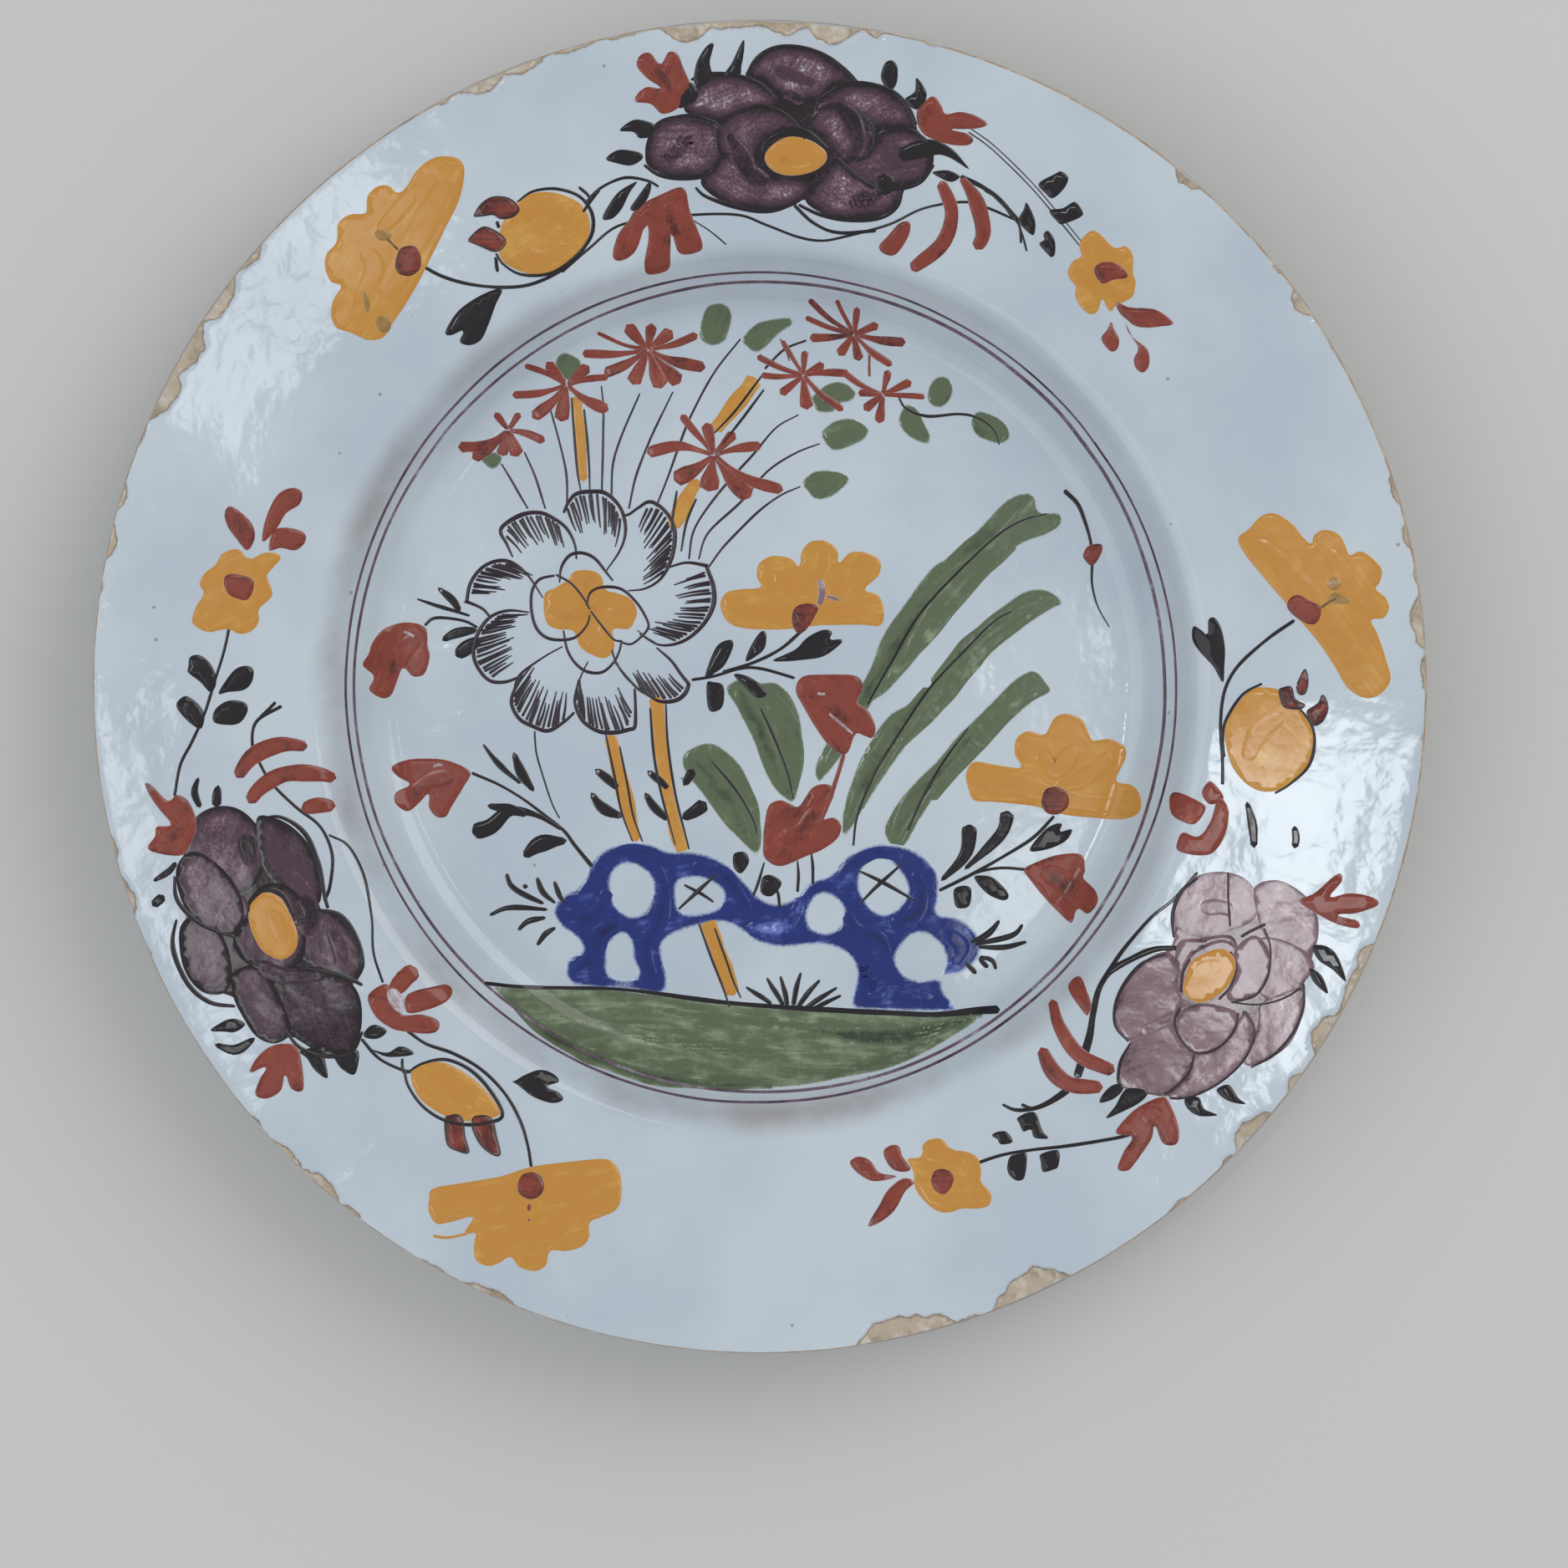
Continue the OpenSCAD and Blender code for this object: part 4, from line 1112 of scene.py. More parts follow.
leaflets = Paint("small_leaf_wash", "green", 0.035)
for points, turn in (
        ([(-14, 98), (-9.5, 99), (-7, 96), (-8.5, 90), (-11, 88), (-14.5, 88.5), (-16, 91.5)], 70),
        ([(-5, 90), (-1, 94), (4, 95.3), (8.5, 95.5), (8.5, 93.5), (5, 91), (1, 87), (-1.5, 86.3),
          (-4, 88)], 35),
        ([(-53, 84), (-51, 86.5), (-48.5, 86), (-46, 84), (-46.5, 81), (-49, 79), (-52, 80)], 60),
        ([(-72.5, 60), (-69.5, 61), (-66.5, 60), (-67, 57.5), (-69.5, 56.2), (-72, 58)], 0),
        ([(13, 75), (17, 78.5), (21, 79), (24.5, 76.5), (24, 74), (20.5, 73), (19, 71), (15, 70.8),
          (13.5, 73)], 20),
        ([(15.5, 66), (19, 69), (24, 69.5), (28, 67), (27, 64), (23, 62), (19, 61), (16.5, 63)], 10),
        ([(10.5, 53), (14, 56), (20, 56), (23, 54.5), (22, 52), (18, 49), (14, 48.5), (11.5, 51)], 5),
        ([(42.8, 76), (44.5, 79.5), (48, 80.2), (49.8, 77.5), (49, 74), (46.5, 72), (43.5, 73)], 50),
        ([(35.5, 70), (37.5, 73.2), (40.5, 72), (42.5, 68.5), (44, 65), (43, 62.7), (39, 64),
          (36, 67)], -50),
        ([(54, 69), (56, 71.5), (60, 70.5), (63.5, 68), (64.3, 64.5), (62, 62.8), (58, 63.5),
          (55, 65.5)], -20)):
    leaflets.shape(points, random.uniform(0.85, 1.1), turn)
leaflets.done("small_leaves")

vine = Paint("small_leaf_vine", "black", 0.08)
vine.stroke([(35.5, 75), (37.5, 72), (43, 70), (51, 70.5), (56, 69.5), (60, 66.5), (61.5, 62.5)],
            [0.7, 0.95, 0.8, 0.6])
vine.done()

# Two fan-shaped yellow blossoms with red buds
fans = Paint("scene_fans", "yellow", 0.09)
fans.shape([(-10.5, 21), (-8.5, 17), (-4, 15.3), (5, 15), (15, 16), (25, 16.3), (31, 16),
            (32, 20), (30.5, 24), (27, 25.5), (30.5, 29), (30.8, 33), (27, 35), (23, 35), (20.3, 32.5),
            (20, 35.5), (17, 38), (13, 37.8), (10.5, 35), (10, 31.5), (8, 33.5), (3, 34), (-0.5, 32),
            (-1, 28.5), (0, 26), (-5, 25.5), (-9, 24.5)],
           0.70, 10)
fans.shape([(53, -22), (55, -19), (60, -19.5), (67, -20.5), (65.5, -17), (66, -13), (69, -11), (73, -12),
            (74.5, -10), (76, -7.5), (79, -6.5), (83, -8), (85, -12), (86, -13.5), (90, -13), (94, -15),
            (94.3, -18), (93, -21), (92, -24), (96, -25), (98, -28), (97.5, -32), (93, -34), (85, -33.5),
            (77, -32.5), (70, -30.5), (60, -29.5), (55, -29), (53.5, -26)], 0.75, -5)
fans.strokes([
    ([(-7, 20), (4, 18.5), (16, 19.5), (28, 19.5)], [4, 6, 5, 3], 0.85),
    ([(4, 30), (9, 25), (16, 31), (16, 36)], [3, 5, 4, 3], 0.9),
    ([(28, 32), (22, 27), (18, 22)], [3, 5, 4], 0.8),
    ([(57, -24), (68, -25.5), (80, -29), (92, -30.5)], [6, 7, 6, 4], 0.95),
    ([(72, -16), (76, -21), (82, -15)], [4, 6, 4], 0.9),
    ([(91, -17), (84, -23), (76, -26)], [4, 5, 4], 0.9)], shake=0.1, over=0.72)
fans.done("fan_blossoms")

fan_marks = Paint("scene_fan_marks", "pale_purple", 0.13)
fan_marks.stroke([(15, 28.5), (16, 25), (15, 21)], [1.2, 2.2, 1.6], 0.8)
fan_marks.stroke([(17, 23.5), (19, 23.2), (20.5, 22.5)], 1.2, 0.7)
fan_marks.stroke([(76, -29), (76.6, -27), (77, -25)], 0.8, 0.9)
fan_marks.done("fan_blossoms")

fan_buds = Paint("scene_fan_buds", "red", 0.14)
fan_buds.shape([(8, 18.5), (9, 21), (12, 22), (15, 21), (14, 18), (12, 15), (10, 14), (8.5, 15.5)], 1.3)
fan_buds.shape([(72.4, -29.5), (73.5, -26.2), (76.5, -25.3), (79.4, -27), (79.6, -30.6), (77, -32.7),
                (73.8, -32.2)], 1.3)
fan_buds.done("fan_blossoms")

# Five red tulips
tulips = Paint("red_tulips", "red", 0.12)
for points, load, turn in (
        ([(-100, 12), (-97, 15.5), (-91, 17), (-86.5, 15.5), (-86, 11), (-85.5, 8), (-87, 3.5),
          (-90, 2.8), (-92.5, 5), (-94, 1.5), (-95.5, -2), (-98, -2.7), (-101, -0.5), (-100, 3),
          (-102.5, 6), (-101, 9)], 0.85, 70),
        ([(-75, -22), (-79, -19.5), (-84, -18.3), (-91, -18.5), (-95.5, -20.5), (-94, -23), (-91, -25),
          (-94.5, -27), (-94.5, -30), (-91.5, -32.2), (-88.5, -30), (-86, -27.5), (-86, -31), (-84, -33.5),
          (-81.5, -33.5), (-80, -31), (-77, -26)], 0.9, 15),
        ([(9, -0.5), (11, 3), (18, 3.5), (25, 3), (26.5, 0), (25, -3.5), (28, -6), (29.8, -10), (29, -13),
          (27, -12.5), (24.5, -12), (23, -16), (21.5, -17.3), (18, -15.5), (14, -10), (11, -5)], 0.95, -50),
        ([(1, -35), (2, -30.5), (5, -29), (8, -30), (10, -30.5), (13, -26), (16, -24.7),
          (19, -25.5), (19, -28), (17, -32), (16, -34), (19, -33.5), (21, -35.5), (20, -39), (16, -42),
          (11, -44), (5, -46.3), (1, -44), (0.5, -40)], 1.0, 50),
        ([(68, -47), (71, -45), (77, -43), (83, -43), (84, -47), (83.5, -49), (86.5, -52),
          (87, -55), (84.5, -58), (82, -57), (80.5, -60.5), (78, -59), (74, -55), (70, -50)], 1.0, -40)):
    tulips.shape(points, load, turn)
tulips.strokes([
    ([(-88, 14), (-92, 10), (-97, 2)], [4, 5, 3], 1.2),
    ([(-79, -23), (-86, -24), (-92, -29)], [4, 5, 3], 1.2),
    ([(12, -1), (18, -5), (24, -10)], [4, 5, 3], 1.2), ([(5, -40), (11, -37), (15, -30)], [5, 6, 3], 1.3),
    ([(72, -47), (78, -50), (83, -55)], [4, 6, 3], 1.3),
    ([(21.5, -17), (20, -22), (18, -28), (15, -36)], 1.1, 0.9)], shake=0.12, over=0.95)
tulips.done("red_tulips")

# Pale spots on the red tulips: partly worn enamel, partly painted highlight
tulip_wear_and_highlights = Paint("tulip_highlights", "pale_purple", 0.165)
for points, width in (([(17.5, -6.5), (21, -9.5), (24, -12)], [0.6, 1.0, 0.6]),
                      ([(-92.5, 14.6), (-91, 14), (-89.5, 13)], 0.9),
                      ([(-85, -20.5), (-83.5, -20), (-82, -20.3)], 0.9),
                      ([(14.5, -1.2), (15.7, -1.6), (17, -1.4)], 0.9)):
    tulip_wear_and_highlights.stroke(points, width, 0.25)
tulip_wear_and_highlights.done("red_tulips")


# ---- The three sprays on the flange -----------------------------------------------------------

def laid(name, pigment, lift, shapes, strokes=(), nodes=(), shake=0.06, ground=None):
    """A piece from filled patches (points, load, turn) and strokes (points, width, load). A stroke
    whose middle is inside a patch is laid over it. ground is a first patch that the rest lie on"""
    paint = Paint(name, pigment, lift)
    outlines = [np.array(points, float) for points, _, _ in shapes]
    if ground:
        paint.shape(*ground)
    for points, load, turn in shapes:
        paint.shape(points, load, turn, over=ground[1] if ground else 0.0)
    for points, width, load in strokes:
        middle = np.array([points[len(points) // 2]], float)
        under = [level for loop, (_, level, _) in zip(outlines, shapes) if inside(middle, loop)[0]]
        paint.stroke(points, width, load, shake=shake, over=max(under, default=0))
    paint.done(*nodes)


def tipped(name, shapes):
    """The dark red tips of a bud, each with a thin dark outline. Each tip is (points, turn)"""
    laid(name, "red", 0.12, [(points, 1.45, turn) for points, turn in shapes], [], ["fruit_buds"])
    laid(name + "_outline", "black", 0.16, [], [(points + points[:1], 0.5, 0.8) for points, _ in shapes])


# Top spray
laid("top_peony_wash", "purple", 0.03, [
    ([(-3, 155), (0, 159.5), (5, 162), (11, 162), (17, 160), (22, 156.5), (25.5, 153),
      (20, 152.5), (15, 149), (8, 149), (4, 151), (0, 154)], 0.45, 60),
    ([(-16, 152), (-13, 154.5), (-8, 155.3), (-2, 154.5), (3, 152), (5, 149.5), (4, 147),
      (-3, 146), (-9, 144), (-14, 145), (-18, 146), (-18.5, 149)], 0.43, 20),
    ([(-28, 139), (-26, 143), (-22, 145), (-16, 145.2), (-11, 143.5), (-8.5, 140), (-8, 136), (-10, 132.5),
      (-14, 130), (-20, 129.7), (-25, 131), (-28, 133), (-28.5, 136)], 0.54, 0),
    ([(-10, 143), (-5, 146.5), (0, 147.3), (6, 146.5), (10, 143.5), (11, 141), (5, 141),
      (1, 138), (-1, 133), (-6, 133), (-10, 136)], 0.68, 40),
    ([(-14.5, 128.5), (-11, 125), (-5, 122.5), (2, 121.8), (9, 123), (13, 126), (14, 129),
      (8, 130), (2, 131), (-2, 134), (-8, 136), (-12, 132)], 0.54, -30),
    ([(12, 124), (16, 121), (22, 119.5), (29, 120), (34, 121.5), (36.5, 125), (37, 128),
      (34, 130), (29, 129), (24, 132), (20, 135), (17, 131), (14, 128)], 0.47, -40),
    ([(20, 135), (23, 130.5), (28, 127.5), (34, 127), (40, 128), (44, 132), (44, 137),
      (41, 140.5), (36, 142), (31, 141), (28, 137)], 0.80, 10),
    ([(15, 149), (20, 152), (27, 153), (33, 151.5), (37, 148), (39.5, 144), (40, 141.5),
      (36, 142), (30, 142), (26, 144), (20, 147)], 0.54, 35),
    ([(11, 141), (14, 145.5), (18, 148), (22, 147), (26, 144), (29, 141), (29, 136), (27, 134), (22, 133),
      (19, 136), (17, 139), (13, 141)], 0.61, 45)], [
    ([(14, 146), (20, 147.5), (24, 143), (25, 137), (22, 133)], [3, 5, 5, 4], 1.5),
    ([(-8, 141), (-5, 137), (-2, 131), (3, 128)], [3, 5, 5, 3], 1.5),
    ([(-2, 130), (5, 127.5), (12, 128), (18, 130)], [4, 6, 5, 3], 1.5),
    ([(-7, 142), (-5, 142.3), (-3, 141.6)], 5, 1.5), ([(6, 151), (9, 150), (12, 148.5)], 3, 1.4),
    ([(-24, 133), (-20, 137), (-16, 141)], [3, 5, 3], 1.2),
    ([(30, 131), (36, 134), (39, 138)], [3, 5, 3], 1.3),
    ([(4, 157), (9, 155), (15, 153)], [3, 5, 2], 1.1),
    ([(22, 123), (28, 124.5), (32, 126)], [3, 5, 3], 1.2)],
    ["top_peony"], shake=0.14, ground=(
        [(-18, 150), (-13, 153.6), (-4, 153.5), (0, 158.4), (8, 161), (17, 159), (24, 152.6),
         (33, 150.8), (38.4, 144), (42, 139), (43, 132), (36.5, 129), (35.5, 122.5), (26, 120.6),
         (18, 121.5), (12, 124), (4, 122.8), (-6, 123.8), (-13, 128.5), (-20, 131), (-27, 133.5),
         (-27, 139), (-22, 144.2), (-17.5, 146)], 1.75, 20))
laid("top_peony_lines", "line", 0.09, [], [
    ([(-3, 155), (0, 159.5), (5, 162), (11, 162), (17, 160), (22, 156.5), (25.5, 153)],
     [0.68, 1.22, 1.35, 1.22, 0.81], 1.65),
    ([(-17, 154), (-12, 155.5), (-5, 155), (1, 152.8), (5, 149)], [0.81, 1.35, 1.22, 0.68], 1.65),
    ([(-23, 144.5), (-17, 145.2), (-11, 143.5), (-9, 141)], [0.68, 1.08, 0.81], 1.5),
    ([(-29, 133), (-25, 130.5), (-19, 129.7), (-13, 130.5), (-9.5, 134)], [0.81, 1.35, 1.35, 0.81], 1.65),
    ([(-5, 145.5), (0, 147.5), (6, 146), (10, 142.5), (12, 139)], [0.68, 1.22, 1.22, 0.81], 1.65),
    ([(-16, 127.5), (-13, 125), (-5, 122.3), (3, 121.5), (10, 123.5)], [0.81, 1.35, 1.35, 0.81], 1.65),
    ([(10, 123), (16, 120.5), (24, 119.2), (31, 119.8), (35.5, 123), (36.5, 129)],
     [0.81, 1.35, 1.35, 0.81], 1.65),
    ([(20, 135), (24, 131), (29, 127.5), (35, 127), (41, 128.5), (44.5, 133)],
     [0.81, 1.22, 1.35, 0.81], 1.65),
    ([(43, 138), (41, 140), (38, 141.5), (31, 142)], [0.81, 1.35, 0.81], 1.5),
    ([(14.5, 146), (16, 149.5), (21, 152.5), (27, 153), (34, 151), (38, 147), (40, 142.5)],
     [0.68, 1.22, 1.35, 1.22, 0.81], 1.65),
    ([(25, 146.5), (28.5, 143), (29.5, 139), (28, 135.5), (23, 133.5)], [0.68, 1.22, 1.08, 0.68], 1.5),
    ([(1, 136), (3, 139.5), (8, 141.2), (13, 140.5), (18, 136.5)], [1.08, 2.03, 2.03, 1.08],
     1.8)], ["top_peony"])
laid("top_peony_heart", "yellow", 0.10, [
    ([(1.6, 134.6), (3.6, 138), (8, 140), (13, 139.2), (17, 136.4), (17, 133.5), (13.5, 131), (8, 130.2),
      (3.6, 131.6)], 0.85, 20)], [
    ([(5, 134), (9, 135.5), (13.5, 134.6)], [3, 5, 3], 1.1),
    ([(8, 132.3), (12, 132.6), (14, 133.6)], [2, 2.4, 1.6], 0.4)],
    ["peony_hearts"])
laid("top_dark_leaves", "black", 0.10, [
    ([(-16, 153), (-15.5, 158), (-13, 162.3), (-11, 163), (-12, 158.5), (-11.5, 155),
      (-13.5, 152.5)], 1, 80),
    ([(-8.5, 155), (-6.5, 158.5), (-3.5, 164), (-3.2, 162), (-4, 157.5), (-4.5, 155)], 1, 70),
    ([(31, 154.5), (32, 158), (34, 158.8), (35.3, 157), (35, 153), (33, 151)], 1, 80),
    ([(40, 154.5), (42.5, 151), (42, 148), (40, 146.5), (37, 149), (39.5, 151)], 1, 60),
    ([(-35, 141.5), (-31, 144.3), (-26, 143), (-27, 140), (-30, 139.5), (-31.5, 141)], 1, 0),
    ([(-38.5, 134.5), (-35, 136.7), (-30, 136.2), (-29, 134.5), (-32, 132.7), (-36, 133.3)], 1, 0),
    ([(-20, 147), (-20, 151), (-17, 153.5), (-15, 151), (-16, 148.5)], 1, 60),
    ([(29.6, 129.2), (32, 130.8), (34.4, 129.2), (34.6, 126.8), (32, 125.2), (29.5, 126.5)], 1, 0),
    ([(44, 131), (48, 131.5), (51, 130), (49, 128.5), (46, 129.5)], 1, 0),
    ([(-39.5, 119.5), (-38, 123), (-35, 126.5), (-30.5, 129), (-32.5, 126), (-34.5, 122),
      (-37, 119.5)], 1, 50),
    ([(-32.5, 122), (-31, 124.5), (-27.5, 128.8), (-27, 127), (-28.5, 123.5), (-31, 121.5)], 1, 55),
    ([(70.8, 128), (75, 130.5), (76.5, 131), (78.3, 129.5), (77.5, 127), (74.5, 124.3),
      (72.5, 125.5)], 1, 30),
    ([(73.5, 121.3), (77, 122), (80, 123.5), (82, 121), (81.5, 119.5), (77, 117.7), (75.5, 118.5)], 1, 10),
    ([(65.8, 118.5), (67, 121.5), (67.8, 123.4), (69.8, 119.5), (70, 116), (69, 115.2)], 1, 80),
    ([(71, 113), (72.3, 114), (72, 115.2), (73.2, 116.3), (74.8, 114.5), (75.3, 112),
      (75, 110), (74, 109.5), (72.5, 111)], 1, 80),
    ([(-65, 102), (-70, 100.5), (-76, 96.5), (-79.5, 91), (-78, 90), (-75, 91.3),
      (-76, 88.5), (-73.5, 87.5), (-70.5, 89), (-68.5, 93), (-66.5, 98)], 1, 50)], [
    ([(35, 135), (43, 137), (48, 136), (53.5, 131.5)], [3, 5, 2.5, 0.3], 1.0),
    ([(51, 130), (57, 127), (61, 124), (66, 118.5)], 1.3, 0.9)])
laid("top_stems", "black", 0.06, [], [
    ([(-50, 106), (-43, 112), (-36, 117.5), (-27, 119.5), (-16, 120.5), (-5, 120.5), (2, 118),
      (10, 115), (16, 114), (22, 115), (33, 118), (42, 122), (52, 123.5), (58, 122), (65, 119)], 0.8, 0.75),
    ([(9, 123), (14, 118.5), (20, 116), (30, 116.5)], 1, 0.8),
    ([(-18, 120), (-13, 117), (-8, 113)], 0.5, 0.6),
    ([(-44, 123), (-40, 127), (-34, 129.7), (-28, 129), (-25, 127.5)], 0.9, 0.9),
    ([(53, 141), (58, 137.5), (63, 133), (69, 127), (75, 120), (80, 114), (85, 108)], 0.5, 0.6),
    ([(53.6, 141.8), (58.6, 138.3), (63.6, 133.8), (69.6, 127.8), (75.6, 120.8), (80.6, 114.8),
      (85.6, 108.6)], 0.45, 0.5),
    ([(57, 126.5), (61, 124), (64, 120), (66, 117.5), (66.5, 113)], 0.8, 0.8),
    ([(66, 117.5), (67.2, 114), (68, 111)], 0.7, 0.8),
    ([(-85, 107.5), (-80, 105), (-73, 103), (-65, 102.3), (-58, 103), (-51, 106), (-46, 110),
      (-43, 114)], 1, 0.85)])
laid("top_red_leaves", "red", 0.12, [
    ([(-30.5, 157.5), (-29.5, 160.3), (-27, 160.8), (-24.5, 158), (-22.5, 161), (-20, 160.5), (-18.5, 157),
      (-17, 153), (-19, 150), (-20, 147), (-24, 145.5), (-27, 148), (-31, 148.5),
      (-30.5, 150.5), (-28, 152.3), (-24.5, 152), (-28, 154.5)], 0.9, 60),
    ([(-31, 122), (-26, 125), (-19, 127.3), (-17, 121), (-14, 113), (-16, 111), (-20, 110.7), (-21.5, 114),
      (-22, 117.5), (-22.3, 111), (-23, 107), (-28, 105.5), (-29, 108), (-28, 115),
      (-28.5, 118), (-31, 111.5), (-34.5, 109), (-37, 110), (-36, 115), (-33, 119)], 1.0, 75),
    ([(40, 146), (42, 148.5), (44.5, 150), (46.5, 147.5), (47.5, 145.5), (51, 146), (55, 145), (58, 143),
      (56, 141.8), (52, 141.5), (49, 141.5), (53, 140.5), (54.5, 139), (53, 137.5),
      (48, 137.8), (43, 139.5), (40.5, 142)], 1.0, -15),
    ([(38.5, 118.5), (38, 115), (35, 110.5), (32, 110.5), (30.5, 112.5), (33, 115.5),
      (36, 118.5)], 1.0, 60),
    ([(90.5, 98.5), (94, 97), (100, 96.5), (103, 95), (105, 92.8), (102, 92), (96, 92), (93, 94),
      (91, 96)], 1.0, -15),
    ([(92.8, 93.5), (95, 89.5), (98.5, 86.5), (99, 82.5), (97.5, 80.5), (95.5, 81.5), (95, 84), (96, 87),
      (93.5, 91)], 1.0, -60),
    ([(89.3, 93.5), (90.5, 91), (91.5, 89), (91, 86.5), (89.3, 85.8), (87.5, 87.5), (86.8, 89.5),
      (88.3, 91.5)], 1.0, -80)], [
    ([(46, 129), (49, 121), (46.5, 113), (38.5, 106.5)], [2.5, 4, 4.2, 3], 1.0),
    ([(51, 130), (55, 124), (57, 116), (55, 111.5)], [1.5, 4.2, 4.4, 3], 1.0),
    ([(-26, 157), (-23, 154), (-21, 150)], [2.5, 4, 3], 1.3),
    ([(-22, 124), (-22, 119), (-19, 114)], [4, 4, 2], 1.3),
    ([(-33, 113), (-30, 118), (-26, 122)], [2, 3, 3], 1.2),
    ([(43, 145), (48, 143.4), (54, 143.4)], [3, 3.4, 2], 1.25)],
    ["top_red_leaves"])
laid("top_bud_wash", "yellow", 0.09, [
    ([(-61, 124), (-57, 126), (-51, 126), (-45, 123.5), (-42.5, 119), (-43.5, 114),
      (-48, 108), (-54, 105.5), (-60, 106), (-65, 109), (-66, 113), (-65, 118), (-63, 121)], 0.70, 30)], [
    ([(-60, 120), (-53, 122), (-47, 118)], [4, 6, 4], 0.95),
    ([(-60, 111), (-54, 109.5), (-48, 113)], [4, 5, 3], 0.9)],
    ["fruit_buds"])
tipped("top_bud_tips", [
    ([(-72, 120), (-70, 123), (-67, 124.8), (-63, 124.5), (-60.5, 122), (-62, 120),
      (-65, 119.5), (-67, 120.5), (-69.5, 120.2)], 0),
    ([(-73.5, 114), (-71, 116.5), (-69, 117.3), (-66, 116), (-64, 114), (-65, 112), (-67, 111.3),
      (-70, 112.5)], 0)])
laid("top_bud_lines", "black", 0.14, [], [
    ([(-61, 123.5), (-57, 126.3), (-51, 127), (-45, 125), (-42, 120.5), (-42.5, 115),
      (-47, 109.5), (-53, 105.8), (-60, 105.5), (-64.5, 108), (-66.5, 111)],
      [0.6, 1.0, 1.1, 1.0, 0.7], 1.0),
    ([(-45.5, 127.5), (-43.6, 126), (-42, 124)], 0.9, 1.0),
    ([(-44.5, 121), (-42, 124.5), (-40, 127)], 0.9, 1.0),
    ([(-66, 119), (-65.9, 118), (-65.5, 117)], 1.0, 1.0),
    ([(-66.5, 110), (-66.4, 108), (-66, 106)], 1.0, 1.0)], ["fruit_buds"])
laid("top_fan_wash", "yellow", 0.09, [
    ([(-74, 131), (-75, 134), (-78, 135), (-82, 134.5), (-86, 131.5), (-89, 127), (-91, 126), (-93, 127.7),
      (-96, 127.5), (-98.5, 125), (-99, 121), (-100, 120.5), (-103, 120.3), (-106, 118), (-106.5, 113.5),
      (-109, 110.5), (-109.5, 107), (-108, 103.5), (-105.5, 102.3), (-107.5, 99),
      (-108.3, 95.5), (-107, 92), (-103, 90.5), (-99, 88.7), (-95, 89.5), (-92.5, 93), (-88, 100),
      (-84, 107), (-80, 115), (-75.5, 124)], 0.72, 60)], [
    ([(-79, 129), (-84, 119), (-89, 109), (-95, 99)], [4, 7, 7, 5], 0.9),
    ([(-100, 112), (-97, 107), (-101, 97)], [4, 6, 4], 0.85),
    ([(-87, 126), (-92, 120), (-96, 116)], [4, 5, 3], 0.85)],
    ["top_fan_blossom"])
laid("top_fan_dots", "red", 0.14, [
    ([(-90.5, 112), (-87, 112.7), (-85.5, 110.5), (-85.5, 107), (-88, 105), (-91, 105.5),
      (-92, 108)], 1.3, 0)],
    [], ["top_fan_blossom"])
laid("top_fan_smudges", "smudge", 0.12, [
    ([(-97, 115.6), (-95.6, 116.7), (-93.3, 116.3), (-92.5, 114.9), (-93.6, 113.7),
      (-95.8, 113.9)], 0.55, 0),
    ([(-100, 100.8), (-98.9, 100.6), (-98.2, 97.6), (-98.8, 95.4), (-99.8, 97.2)], 0.55, 80),
    ([(-97, 93.4), (-95.9, 95), (-93.7, 94.6), (-92.9, 92.7), (-94, 90.8), (-96.1, 91)], 0.75, 0)], [
    ([(-94, 114.6), (-92.4, 113), (-90.8, 111.4)], 0.9, 1.6)], ["top_fan_blossom"])
laid("top_small_flower", "yellow", 0.09, [
    ([(78.2, 106), (79.5, 108.7), (81.5, 109.8), (81, 113), (83.5, 116), (86, 115.8),
      (90, 112), (93, 112.3), (94.8, 110), (94.7, 105.5), (95.5, 103.5), (95, 100), (93, 98.5),
      (90.5, 97.3), (89.5, 95.6), (88, 97), (87, 99), (86, 96), (84, 95.2), (81.5, 97), (80, 100),
      (80.2, 102.2), (78.8, 104)], 0.72, 20)], [
    ([(81, 105), (86, 102), (91, 100)], [4, 5, 4], 0.9),
    ([(84, 113), (88, 109.5), (92.5, 108)], [3, 4, 3], 0.85)],
    ["small_blossoms"])
laid("top_small_flower_centre", "red", 0.14, [
    ([(85, 107), (87, 108.4), (90, 108.2), (93, 106), (93.2, 104.3), (90, 103.7), (87, 102.8),
      (85.2, 105)], 1.2, 0)], [],
    ["small_blossoms"])

